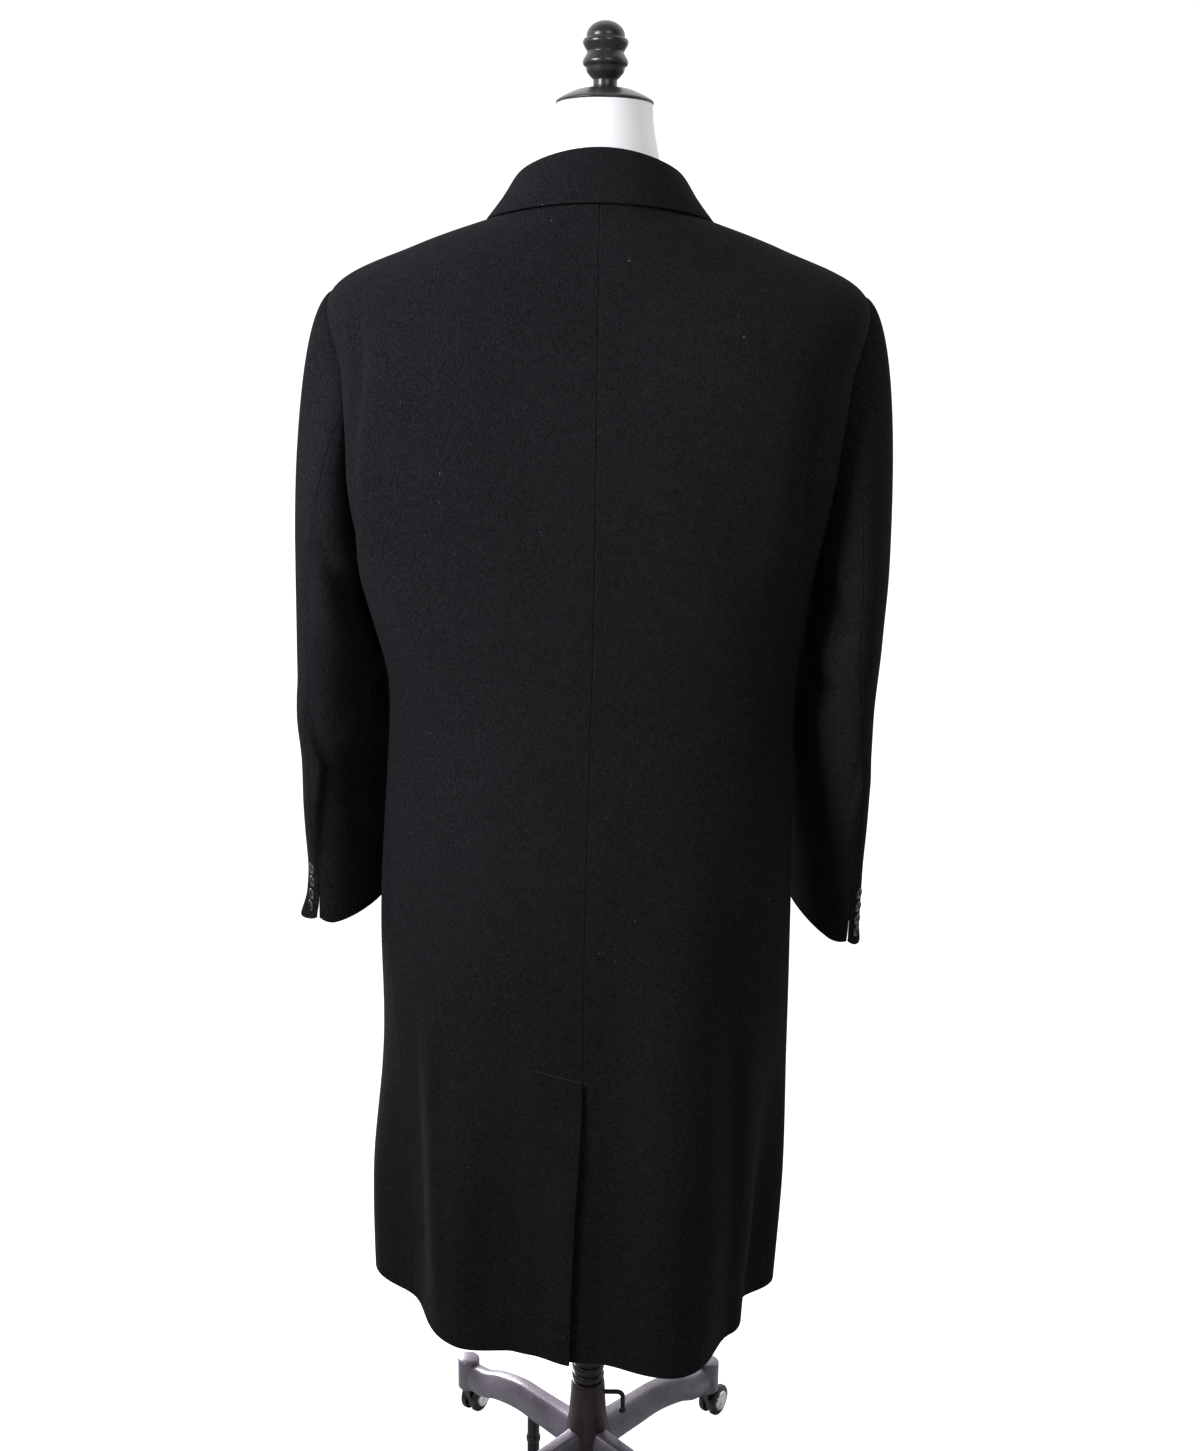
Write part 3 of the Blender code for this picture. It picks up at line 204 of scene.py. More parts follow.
# ---------------------------------------------------------------- finishes
class Nodes:
    """A material's node tree with short calls to fill it."""

    def __init__(self, name: str) -> None:
        """Makes a material of that name with a Principled shader.

        Args:
            name: the material's name.
        """
        self.material = bpy.data.materials.new(name)
        self.material.use_nodes = True
        self.tree = self.material.node_tree
        self.shader = self.tree.nodes["Principled BSDF"]

    def add(self, kind: str, **inputs: object) -> bpy.types.Node:
        """Adds a node and fills its inputs.

        Args:
            kind: the node's type.
            inputs: socket names, with _ for a space, and their values or the sockets to link.

        Returns:
            The node.
        """
        node = self.tree.nodes.new(kind)
        self.fill(node, **inputs)
        return node

    def fill(self, node: bpy.types.Node, **inputs: object) -> None:
        """Fills a node's inputs by name with values or links.

        Args:
            node: the node.
            inputs: socket names, with _ for a space, and their values or the sockets to link.
        """
        for name, value in inputs.items():
            feed(self.tree, node.inputs[name.replace("_", " ")], value)

    def weighed(self, *parts: tuple[bpy.types.NodeSocket, float]) -> bpy.types.NodeSocket:
        """The sum of two sockets, each times its own weight."""
        first, second = (maths(self.tree, "MULTIPLY", *part) for part in parts)
        return maths(self.tree, "ADD", first, second)

    def place(self, scale: Sequence[float], turn: float = 0.0) -> bpy.types.NodeSocket:
        """Object coordinates, turned about Z and scaled.

        Args:
            scale: the scale along X, Y and Z.
            turn: the turn about Z, in radians.

        Returns:
            The coordinates.
        """
        where = self.add("ShaderNodeTexCoord")
        mapping = self.add("ShaderNodeMapping", Vector=where.outputs["Object"], Scale=scale,
                           Rotation=(0.0, 0.0, turn))
        return mapping.outputs[0]

    def noise(self, where: bpy.types.NodeSocket, scale: float, detail: float = 2.0,
              rough: float = 0.5) -> bpy.types.NodeSocket:
        """A noise texture's value."""
        return self.add("ShaderNodeTexNoise", Vector=where, Scale=scale, Detail=detail,
                        Roughness=rough).outputs[0]

    def ramp(self, value: bpy.types.NodeSocket, ends: tuple[float, float]
             ) -> bpy.types.NodeSocket:
        """A ramp from black to white.

        Args:
            value: what it reads.
            ends: the values at which it is black and white.

        Returns:
            The ramp's grey.
        """
        node = self.tree.nodes.new("ShaderNodeValToRGB")
        self.tree.links.new(value, node.inputs[0])
        for element, position, grey in zip(node.color_ramp.elements, ends, (0.0, 1.0)):
            element.position = position
            element.color = (grey, grey, grey, 1.0)
        return node.outputs[0]

    def blend(self, share: bpy.types.NodeSocket, first: Sequence[float], second: Sequence[float]
              ) -> bpy.types.NodeSocket:
        """A colour between two, by a share.

        Args:
            share: the share of the second colour.
            first: a colour, or a socket that gives it.
            second: the other colour.

        Returns:
            The blended colour.
        """
        node = self.tree.nodes.new("ShaderNodeMix")
        node.data_type = "RGBA"
        self.tree.links.new(share, node.inputs["Factor"])
        colours = [socket for socket in node.inputs if socket.type == "RGBA"]
        for socket, colour in zip(colours, (first, second)):
            linked = isinstance(colour, bpy.types.NodeSocket)
            feed(self.tree, socket, colour if linked else (*colour, 1.0))
        return [socket for socket in node.outputs if socket.type == "RGBA"][0]

    def bump(self, height: bpy.types.NodeSocket, distance: float, strength: float
             ) -> bpy.types.NodeSocket:
        """A bump's normal, with its full height in metres."""
        return self.add("ShaderNodeBump", Height=height, Distance=distance,
                        Strength=strength).outputs[0]


BANDS = 0.32  # the wave texture's scale for one band in each metre


@dataclass(frozen=True)
class WoolCoating:
    """Black wool coating: a fine twill under a brushed nap, with a few specks of lint."""

    name: str = "black_wool_coating"
    slot: str = "coat_cloth"
    deep: tuple[float, float, float] = (0.0030, 0.0029, 0.0034)
    light: tuple[float, float, float] = (0.0206, 0.0202, 0.0229)
    speck: tuple[float, float, float] = (0.10, 0.10, 0.115)
    nap_size: float = 0.0016
    twill_pitch: float = 0.0012
    twill_turn: float = 0.7
    broad_scale: float = 14.0
    nap_share: float = 0.82
    weave_share: float = 0.80
    weave_ends: tuple[float, float] = (0.38, 0.62)
    fleck_scale: float = 620.0
    fleck_ends: tuple[float, float] = (0.825, 0.835)
    sparse_scale: float = 47.0
    sparse_ends: tuple[float, float] = (0.72, 0.76)
    roughness: float = 0.96
    sheen: float = 0.012
    sheen_tint: tuple[float, float, float, float] = (0.80, 0.80, 1.0, 1.0)
    shine: float = 0.03
    relief: float = 0.0004

    def build(self) -> bpy.types.Material:
        """Makes the material.

        Returns:
            The material.
        """
        n = Nodes(self.name)
        where = n.place((1.0, 1.0, 0.60))
        nap = n.noise(where, 1.0 / self.nap_size, 4.0, 0.75)
        broad = n.noise(where, self.broad_scale, 3.0, 0.6)
        twill_at = n.place((1.0, 1.0, 0.62), self.twill_turn)
        twill = n.add("ShaderNodeTexWave", Vector=twill_at, Scale=BANDS / self.twill_pitch,
                      Distortion=5.0, Detail=2.0, Detail_Scale=1.6)
        twill.bands_direction = "DIAGONAL"
        weave = n.weighed((nap, self.nap_share), (twill.outputs[1], 1.0 - self.nap_share))
        tone = n.weighed((n.ramp(weave, self.weave_ends), self.weave_share),
                         (broad, 1.0 - self.weave_share))
        base = n.blend(tone, self.deep, self.light)
        flecks = n.ramp(n.noise(where, self.fleck_scale, 0.0), self.fleck_ends)
        sparse = n.ramp(n.noise(where, self.sparse_scale, 0.0), self.sparse_ends)
        colour = n.blend(maths(n.tree, "MULTIPLY", flecks, sparse), base, self.speck)
        n.fill(n.shader, Base_Color=colour, Roughness=self.roughness, Sheen_Weight=self.sheen,
               Sheen_Roughness=0.5, Sheen_Tint=self.sheen_tint, Specular_IOR_Level=self.shine,
               Normal=n.bump(weave, self.relief, 0.9))
        return n.material


@dataclass(frozen=True)
class WhiteJersey:
    """White knitted jersey stretched over the form: fine upright ribs, and a faint painted glow
    from its emission.
    """

    name: str = "white_jersey"
    slot: str = "form_jersey"
    colour: tuple[float, float, float] = (0.93, 0.93, 0.94)
    shade: tuple[float, float, float] = (0.84, 0.84, 0.86)
    rib_pitch: float = 0.0011
    rib_share: float = 0.6
    yarn_scale: float = 900.0
    roughness: float = 0.85
    sheen: float = 0.15
    relief: float = 0.0002
    # painted glow: white emission that keeps the jersey bright without a lamp
    painted_glow: float = 0.16

    def build(self) -> bpy.types.Material:
        """Makes the material.

        Returns:
            The material.
        """
        n = Nodes(self.name)
        where = n.place((1.0, 1.0, 1.0))
        ribs = n.add("ShaderNodeTexWave", Vector=where, Scale=BANDS / self.rib_pitch,
                     Distortion=0.6, Detail=1.0)
        ribs.bands_direction = "X"
        knit = n.weighed((ribs.outputs[1], self.rib_share),
                         (n.noise(where, self.yarn_scale), 1.0 - self.rib_share))
        # The emission is painted light: a faint white glow with no lamp behind it.
        n.fill(n.shader, Base_Color=n.blend(knit, self.shade, self.colour),
               Roughness=self.roughness, Sheen_Weight=self.sheen,
               Normal=n.bump(knit, self.relief, 0.5), Emission_Color=(1.0, 1.0, 1.0, 1.0),
               Emission_Strength=self.painted_glow)
        return n.material


@dataclass(frozen=True)
class Hard:
    """A hard finish: a base colour with a second one in its wear, and fine grain in its gloss."""

    name: str
    slot: str
    colour: tuple[float, float, float]
    worn: tuple[float, float, float]
    metallic: float
    roughness: tuple[float, float]
    grain: float
    relief: float
    stretch: tuple[float, float, float] = (1.0, 1.0, 1.0)
    coat: float = 0.0
    broad_scale: float = 28.0
    grain_share: float = 0.55
    tone_ends: tuple[float, float] = (0.36, 0.66)

    def build(self) -> bpy.types.Material:
        """Makes the material.

        Returns:
            The material.
        """
        n = Nodes(self.name)
        where = n.place(self.stretch)
        grain = n.noise(where, 1.0 / self.grain, 4.0, 0.6)
        broad = n.noise(where, self.broad_scale, 3.0, 0.5)
        tone = n.ramp(n.weighed((grain, self.grain_share), (broad, 1.0 - self.grain_share)),
                      self.tone_ends)
        glossy, dull = self.roughness
        gloss = maths(n.tree, "ADD", maths(n.tree, "MULTIPLY", tone, dull - glossy), glossy)
        n.fill(n.shader, Base_Color=n.blend(tone, self.colour, self.worn), Metallic=self.metallic,
               Roughness=gloss, Coat_Weight=self.coat, Coat_Roughness=0.12,
               Normal=n.bump(grain, self.relief, 0.6))
        return n.material


class Finish(Enum):
    """The finishes of the coat, the form and the stand, by what is made of them; the hub's is a
    darker copy of the cast paint, as painted shade.
    """

    COAT = WoolCoating()
    JERSEY = WhiteJersey()
    BUTTON = Hard(
        "dark_horn", "buttons", (0.020, 0.020, 0.023), (0.062, 0.060, 0.062), metallic=0.0,
        roughness=(0.26, 0.38), grain=0.0022, relief=0.00004, stretch=(1.0, 1.0, 2.4), coat=0.3)
    THREAD = Hard(
        "black_thread", "", (0.014, 0.014, 0.017), (0.042, 0.042, 0.048), metallic=0.0,
        roughness=(0.5, 0.65), grain=0.0004, relief=0.00003)
    WOOD = Hard(
        "black_polished_wood", "turned_wood", (0.016, 0.0155, 0.017), (0.034, 0.032, 0.035),
        metallic=0.0, roughness=(0.26, 0.40), grain=0.0016, relief=0.00004,
        stretch=(1.0, 1.0, 0.25), coat=0.2)
    CAST = Hard(
        "foot_paint", "cast_foot", (0.100, 0.089, 0.110), (0.265, 0.238, 0.287), metallic=0.55,
        roughness=(0.28, 0.42), grain=0.0012, relief=0.00012)
    # A darker copy of the cast paint for the hub: painted shade from the skirt above it and the dim
    # room that it faces.
    HUB_SHADED = Hard(
        "hub_painted_shade", "cast_foot", (0.030, 0.022, 0.023), (0.080, 0.060, 0.062), metallic=0.7,
        roughness=(0.30, 0.46), grain=0.0012, relief=0.00012)
    STEEL = Hard(
        "blackened_steel", "black_steel", (0.010, 0.010, 0.012), (0.032, 0.031, 0.034),
        metallic=0.55, roughness=(0.24, 0.38), grain=0.0011, relief=0.00003)
    PLASTIC = Hard(
        "moulded_plastic", "black_plastic", (0.004, 0.004, 0.005), (0.012, 0.012, 0.014),
        metallic=0.0, roughness=(0.30, 0.44), grain=0.0009, relief=0.00004)
    CHROME = Hard(
        "polished_disc", "bright_disc", (0.80, 0.81, 0.83), (0.62, 0.63, 0.66), metallic=1.0,
        roughness=(0.08, 0.18), grain=0.0014, relief=0.00002)

    def material(self) -> bpy.types.Material:
        """The finish's material, made the first time that it is asked for."""
        return bpy.data.materials.get(self.value.name) or self.value.build()


# ---------------------------------------------------------------- meshes
def mesh_object(name: str, points: Array, faces: Sequence[Sequence[int]], finish: Finish,
                sharp: float = 35.0) -> bpy.types.Object:
    """Makes a smooth-shaded mesh object at the origin.

    Args:
        name: the piece's name.
        points: its points, in the part's frame.
        faces: its faces, by point number.
        finish: its finish.
        sharp: the angle in degrees above which an edge stays sharp.

    Returns:
        The object.
    """
    mesh = bpy.data.meshes.new(name)
    mesh.from_pydata(np.asarray(points).reshape(-1, 3).tolist(), [], faces)
    mesh.shade_smooth()
    mesh.set_sharp_from_angle(angle=math.radians(sharp))
    mesh.materials.append(finish.material())
    return placed(name, mesh)


def grid_faces(rows: int, columns: int, start: int = 0, closed: bool = False) -> Array:
    """The four-sided faces of a grid of points.

    Args:
        rows: how many rows of points.
        columns: how many points in a row.
        start: the first point's number.
        closed: whether the last column joins the first.

    Returns:
        One row of four point numbers for each face.
    """
    across = columns if closed else columns - 1
    j, i = np.meshgrid(np.arange(rows - 1), np.arange(across), indexing="ij")
    k = (i + 1) % columns
    a, b = start + j * columns + i, start + j * columns + k
    return np.stack([a, b, b + columns, a + columns], -1).reshape(-1, 4)


def run_lengths(show: Array, axis: int) -> Array:
    """Each point's distance from the start of its row (axis 1) or column (axis 0).

    Args:
        show: the grid of points.
        axis: the way in which the distance is measured.

    Returns:
        Metres for each point.
    """
    steps = np.linalg.norm(np.diff(show, axis=axis), axis=-1)
    start = np.zeros_like(np.take(steps, [0], axis=axis))
    return np.concatenate([start, np.cumsum(steps, axis=axis)], axis=axis)


@dataclass
class ClothPiece:
    """A maker's piece of cloth: a thin shell whose show face is a grid of points."""

    name: str
    show: Array
    outward: Array
    thickness: float
    round_share: float = 0.42
    object: bpy.types.Object = field(init=False)

    def build(self) -> bpy.types.Object:
        """Makes the shell with rounded edges and a UV map in metres along the grain.

        Returns:
            The shell's object.
        """
        rows, columns = self.show.shape[:2]
        across, down = run_lengths(self.show, 1), run_lengths(self.show, 0)
        near = np.minimum.reduce([across, across[:, -1:] - across, down, down[-1:] - down])
        radius = self.round_share * self.thickness
        inset = np.clip(radius - near, 0.0, radius)
        drop = (radius - np.sqrt(radius ** 2 - inset ** 2))[..., None]
        outer = self.show - self.outward * drop
        inner = self.show - self.outward * (self.thickness - drop)
        count = rows * columns
        face = grid_faces(rows, columns)
        corners = self.show.reshape(-1, 3)[face]
        turned = np.cross(corners[:, 1] - corners[:, 0], corners[:, 3] - corners[:, 0])
        if (turned * self.outward.reshape(-1, 3)[face[:, 0]]).sum() < 0:
            face = face[:, ::-1]
        rim = self.rim(rows, columns)
        following = np.roll(rim, -1)
        sides = np.stack([rim, following, following + count, rim + count], -1)
        if self.rim_turns_in(face, rim):
            sides = sides[:, ::-1]
        faces = np.concatenate([face, face[:, ::-1] + count, sides])
        points = np.concatenate([outer.reshape(-1, 3), inner.reshape(-1, 3)])
        piece = mesh_object(self.name, points, faces.tolist(), Finish.COAT, 60.0)
        self.add_uv(piece.data, across, down)
        self.object = piece
        return piece

    def rim(self, rows: int, columns: int) -> Array:
        """The point numbers of the grid's outline, once round."""
        index = np.arange(rows * columns).reshape(rows, columns)
        return np.concatenate([index[0], index[1:, -1], index[-1, -2::-1], index[-2:0:-1, 0]])

    def rim_turns_in(self, face: Array, rim: Array) -> bool:
        """Whether the outline runs the same way as the show face's own edges.

        Args:
            face: the show face's faces.
            rim: the outline's point numbers.

        Returns:
            True where it does.
        """
        corners = face[0].tolist()
        return (int(rim[0]), int(rim[1])) in zip(corners, [*corners[1:], corners[0]])

    def add_uv(self, mesh: bpy.types.Mesh, across: Array, down: Array) -> None:
        """Adds a UV map in metres: across the piece and along its length.

        Args:
            mesh: the shell's mesh.
            across: each point's distance along its row.
            down: each point's distance along its column.
        """
        places = np.stack([across, down], -1).reshape(-1, 2)
        places = np.concatenate([places, places])
        layer = mesh.uv_layers.new(name="cloth")
        corner = np.empty(len(mesh.loops), np.int32)
        mesh.loops.foreach_get("vertex_index", corner)
        layer.data.foreach_set("uv", places[corner].astype(np.float32).ravel())

    def hand_over(self, node: str, held: str, rests_on: Sequence[str],
                  with_pieces: Sequence[bpy.types.Object] = ()) -> None:
        """Hides the CAD node that the piece stands for and puts the piece on the figure's body.

        Args:
            node: the CAD node that it stands for.
            held: how it is held; not used.
            rests_on: what it lies on; not used.
            with_pieces: the separate pieces on it; not used.
        """
        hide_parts(node)
        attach(self.object, "figure")


# ---------------------------------------------------------------- node trees for what repeats
class Repeat:
    """A geometry node tree with named inputs, used on one mesh and then turned into plain mesh."""

    def __init__(self, name: str, inputs: dict[str, float]) -> None:
        """Makes the tree with a geometry socket and one number socket for each input.

        Args:
            name: the tree's name.
            inputs: the names and values of its number sockets.
        """
        self.tree = bpy.data.node_groups.new(name, "GeometryNodeTree")
        face = self.tree.interface
        face.new_socket("Geometry", in_out="INPUT", socket_type="NodeSocketGeometry")
        face.new_socket("Geometry", in_out="OUTPUT", socket_type="NodeSocketGeometry")
        self.values = {}
        for label, value in inputs.items():
            socket = face.new_socket(label, in_out="INPUT", socket_type="NodeSocketFloat")
            self.values[socket.identifier] = value
        self.source = self.tree.nodes.new("NodeGroupInput")

    def add(self, kind: str, settings: dict[str, str] | None = None, **inputs: object
            ) -> bpy.types.Node:
        """Adds a node.

        Args:
            kind: the node's type.
            settings: its options by name.
            inputs: socket names, with _ for a space, and their values or the sockets to link.

        Returns:
            The node.
        """
        node = self.tree.nodes.new(kind)
        for option, value in (settings or {}).items():
            setattr(node, option, value)
        for name, value in inputs.items():
            socket = next(one for one in node.inputs
                          if one.enabled and one.name == name.replace("_", " "))
            feed(self.tree, socket, value)
        return node

    def run(self, piece: bpy.types.Object, last: bpy.types.Node, finish: Finish) -> None:
        """Realizes what the tree makes on a piece, gives it its finish and keeps it as mesh.

        Args:
            piece: the object whose mesh the tree starts from, and which keeps the result.
            last: the node that gives the result.
            finish: the result's finish.
        """
        whole = self.add("GeometryNodeRealizeInstances", Geometry=last.outputs[0])
        shaded = self.add("GeometryNodeSetShadeSmooth", Geometry=whole.outputs[0])
        dressed = self.add("GeometryNodeSetMaterial", Geometry=shaded.outputs[0],
                           Material=finish.material())
        target = self.tree.nodes.new("NodeGroupOutput")
        self.tree.links.new(dressed.outputs[0], target.inputs[0])
        modifier = piece.modifiers.new(self.tree.name, "NODES")
        modifier.node_group = self.tree
        for identifier, value in self.values.items():
            modifier[identifier] = value
        graph = bpy.context.evaluated_depsgraph_get()
        graph.update()
        mesh = bpy.data.meshes.new_from_object(piece.evaluated_get(graph))
        piece.modifiers.remove(modifier)
        piece.data = mesh


class Row(NamedTuple):
    """A row of stitches: its path, and the way in which each stitch lies."""

    path: Array
    way: Array


@dataclass(frozen=True)
class Stitching:
    """Rows of thread stitches, set out along their paths by a node tree."""

    name: str
    pitch: float
    length: float
    radius: float

    def build(self, rows: Sequence[Row]) -> bpy.types.Object:
        """Makes all the rows as one mesh.

        Args:
            rows: the rows of stitches.

        Returns:
            The object.
        """
        points = np.concatenate([row.path for row in rows])
        ways = np.concatenate([row.way for row in rows])
        edges, start = [], 0
        for row in rows:
            edges += [(start + k, start + k + 1) for k in range(len(row.path) - 1)]
            start += len(row.path)
        mesh = bpy.data.meshes.new(self.name)
        mesh.from_pydata(points.tolist(), edges, [])
        layer = mesh.attributes.new("way", "FLOAT_VECTOR", "POINT")
        layer.data.foreach_set("vector", ways.astype(np.float32).ravel())
        piece = placed(self.name, mesh)
        tree = Repeat(self.name, {"Pitch": self.pitch, "Length": self.length,
                                  "Radius": self.radius})
        _, pitch, length, radius = tree.source.outputs[:4]
        curve = tree.add("GeometryNodeMeshToCurve", Mesh=tree.source.outputs[0])
        even = tree.add("GeometryNodeResampleCurve", {"mode": "LENGTH"}, Curve=curve.outputs[0],
                        Length=pitch)
        way = tree.add("GeometryNodeInputNamedAttribute", {"data_type": "FLOAT_VECTOR"},
                       Name="way")
        turn = tree.add("FunctionNodeAlignRotationToVector", {"axis": "Z"},
                        Vector=way.outputs[0])
        stitch = tree.add("GeometryNodeMeshUVSphere", Segments=6, Rings=4, Radius=1.0)
        half = maths(tree.tree, "MULTIPLY", length, 0.5)
        size = tree.add("ShaderNodeCombineXYZ", X=radius, Y=radius, Z=half)
        laid = tree.add("GeometryNodeInstanceOnPoints", Points=even.outputs[0],
                        Instance=stitch.outputs[0], Rotation=turn.outputs[0],
                        Scale=size.outputs[0])
        tree.run(piece, laid, Finish.THREAD)
        return piece


# ---------------------------------------------------------------- hard pieces
Outline = Sequence[tuple[float, float]]


def body_of(node: str) -> str:
    """The moving body that a hard CAD node belongs to.

    Args:
        node: the node's name.

    Returns:
        The body's name.
    """
    for start, body in (("caster_wheels_", "wheels_"), ("caster_disc_a_", "wheels_"),
                        ("caster_disc_b_", "wheels_"), ("caster_housing_", "swivel_")):
        if node.startswith(start):
            return body + node.removeprefix(start)
    alone = {"brake_tab": "brake", "clamp_lever": "clamp", "pole": "mast"}
    stand = ("base_casting", "ribbed_collar", "leg_post", "post_ring")
    return alone.get(node, "base" if node in stand else "figure")


def stand_for(piece: bpy.types.Object, node: str) -> bpy.types.Object:
    """Lets a hard piece stand for its CAD node, on the node's body.

    Args:
        piece: the piece.
        node: the node's name.

    Returns:
        The piece.
    """
    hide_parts(node)
    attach(piece, body_of(node))
    return piece


def rounded(outline: Outline, radius: float, steps: int = 4) -> list[tuple[float, float]]:
    """The outline with each corner between its ends rounded.

    Args:
        outline: the outline's points.
        radius: how far from a corner its rounding starts, at most.
        steps: how many edges a rounding has.

    Returns:
        The new outline.
    """
    result = [tuple(outline[0])]
    for before, here, after in zip(outline, outline[1:], outline[2:]):
        corner = Vector(here)
        arms = [Vector(before) - corner, Vector(after) - corner]
        start, end = (corner + arm * (min(radius, 0.45 * arm.length) / arm.length)
                      for arm in arms)
        for step in range(steps + 1):
            share = step / steps
            result.append(tuple(start.lerp(corner, share).lerp(corner.lerp(end, share), share)))
    return [*result, tuple(outline[-1])]


def turned_shell(outline: Outline, sides: int, start: int = 0
                 ) -> tuple[list[tuple[float, float, float]], list[tuple[int, ...]]]:
    """The points and faces of a turned solid about Z.

    Args:
        outline: (radius, height) from its top down its outer side. A first radius above 0 makes
            a ring, whose last point joins the first.
        sides: how many sides it has.
        start: the first point's number.

    Returns:
        The points and the faces.
    """
    points, rows = [], []
    for radius, height in outline:
        first = start + len(points)
        if radius < 1e-9:
            rows.append([first] * sides)
            points.append((0.0, 0.0, height))
        else:
            rows.append(list(range(first, first + sides)))
            points += [(radius * math.cos(turn), radius * math.sin(turn), height)
                       for turn in np.linspace(0.0, math.tau, sides, endpoint=False)]
    pairs = list(itertools.pairwise(rows))
    if outline[0][0] > 1e-9:
        pairs.append((rows[-1], rows[0]))
    faces = []
    for high, low in pairs:
        for i in range(sides):
            k = (i + 1) % sides
            face = tuple(dict.fromkeys((high[i], low[i], low[k], high[k])))
            if len(face) > 2:
                faces.append(face)
    return points, faces


def turned(name: str, outline: Outline, finish: Finish, sides: int = 64,
           matrix: Matrix | None = None, sharp: float = 32.0) -> bpy.types.Object:
    """A turned piece, carried to its place by a matrix and left at the origin.

    Args:
        name: the piece's name.
        outline: (radius, height) from its top down its outer side.
        finish: its finish.
        sides: how many sides it has.
        matrix: what carries its points to their place.
        sharp: the angle in degrees above which an edge stays sharp.

    Returns:
        The object.
    """
    points, faces = turned_shell(outline, sides)
    if matrix is not None:
        points = [matrix @ Vector(point) for point in points]
    return mesh_object(name, np.array(points), faces, finish, sharp)


def toward(direction: Sequence[float]) -> Matrix:
    """The turn that carries Z to a direction."""
    return Vector((0, 0, 1)).rotation_difference(Vector(direction)).to_matrix().to_4x4()


def lofted(rings: Sequence[Sequence[Sequence[float]]], start: int = 0
           ) -> tuple[list[Sequence[float]], list[tuple[int, ...]]]:
    """The points and faces of a closed solid through rings of equal length.

    Args:
        rings: the rings of points, from one end to the other.
        start: the first point's number.

    Returns:
        The points and the faces.
    """
    sides = len(rings[0])
    points = [tuple(point) for ring in rings for point in ring]
    faces = [tuple(start + int(k) for k in face)
             for face in grid_faces(len(rings), sides, closed=True)]
    faces.append(tuple(start + k for k in reversed(range(sides))))
    faces.append(tuple(start + len(points) - sides + k for k in range(sides)))
    return points, faces


def refined(name: str, node: str, finish: Finish, bevel: float) -> bpy.types.Object:
    """A copy of a CAD node with its points merged and its edges rounded.

    Args:
        name: the copy's name.
        node: the node's name.
        finish: the copy's finish.
        bevel: the width of the rounding, in metres.

    Returns:
        The object.
    """
    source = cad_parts[node]
    work = bmesh.new()
    work.from_mesh(source.data)
    work.transform(source.matrix_world)
    bmesh.ops.remove_doubles(work, verts=work.verts, dist=1e-6)
    bmesh.ops.dissolve_limit(work, angle_limit=0.01, verts=work.verts, edges=work.edges)
    sharp = [edge for edge in work.edges
             if len(edge.link_faces) == 2 and edge.calc_face_angle() > math.radians(40)]
    bmesh.ops.bevel(work, geom=sharp, offset=bevel, segments=2, affect="EDGES", profile=0.5,
                    clamp_overlap=True)
    bmesh.ops.recalc_face_normals(work, faces=work.faces)
    mesh = bpy.data.meshes.new(name)
    work.to_mesh(mesh)
    work.free()
    mesh.shade_smooth()
    mesh.set_sharp_from_angle(angle=math.radians(32))
    mesh.materials.clear()
    mesh.materials.append(finish.material())
    return placed(name, mesh)


# ---------------------------------------------------------------- the coat's body
class Section(NamedTuple):
    """One ring of the coat's body, from its sides, middle back and middle front."""

    z_side: float
    z_back: float
    z_front: float
    x_mid: float
    half_width: float
    y_back: float
    y_front: float
    square_back: float
    square_front: float


class Fold(NamedTuple):
    """A soft fold of the skirt: whole below one height and gone from where it ends."""

    angle: float
    half_span: float
    depth: float
    full_below: float
    ends: float


class Drape(NamedTuple):
    """Cloth that stands out sideways behind an armhole."""

    angle: float
    half_span: float
    reach: float
    low: float
    high: float


SHIFT = 0.003
SECTIONS = tuple(Section(*row) for row in (
    (0.280, 0.280, 0.280, 0.0165, 0.2085, 0.162, 0.158, 2.10, 2.10),
    (0.400, 0.400, 0.400, 0.0135, 0.2105, 0.156, 0.153, 2.10, 2.10),
    (0.540, 0.540, 0.540, 0.0080, 0.2030, 0.148, 0.148, 2.10, 2.10),
    (0.700, 0.700, 0.700, 0.0080, 0.2005, 0.138, 0.142, 2.20, 2.15),
    (0.880, 0.880, 0.880, 0.0050, 0.1925, 0.120, 0.128, 2.45, 2.20),
    (0.975, 0.975, 0.975, 0.0035, 0.1960, 0.125, 0.133, 2.75, 2.25),
    (1.050, 1.050, 1.050, SHIFT, 0.2030, 0.131, 0.136, 3.00, 2.30),
    (1.125, 1.120, 1.115, SHIFT, 0.2150, 0.133, 0.130, 3.30, 2.35),
    (1.195, 1.185, 1.170, SHIFT, 0.2290, 0.129, 0.117, 3.40, 2.35),
    (1.267, 1.240, 1.215, SHIFT, 0.2400, 0.116, 0.101, 2.70, 2.30),
    (1.3085, 1.294, 1.258, SHIFT, 0.1630, 0.099, 0.084, 2.20, 2.20),
    (1.337, 1.345, 1.290, SHIFT, 0.0800, 0.0785, 0.062, 2.00, 2.00),
))
ARMPIT, SHOULDER_TIP, NECKLINE = 6, 9, 11

FOLDS = tuple(Fold(*row) for row in (
    (62, 32, -0.034, 0.33, 0.66),
    (14, 18, -0.014, 0.36, 0.62),
    (-26, 21, 0.036, 0.33, 0.84),
    (-67, 19, -0.026, 0.33, 0.62),
    (122, 22, 0.014, 0.33, 0.70),
    (-128, 20, -0.012, 0.33, 0.66),
    (-152, 18, 0.010, 0.33, 0.60),
))
DRAPES = (Drape(58, 27, 0.027, 0.87, 1.23), Drape(-58, 27, 0.010, 0.93, 1.23))


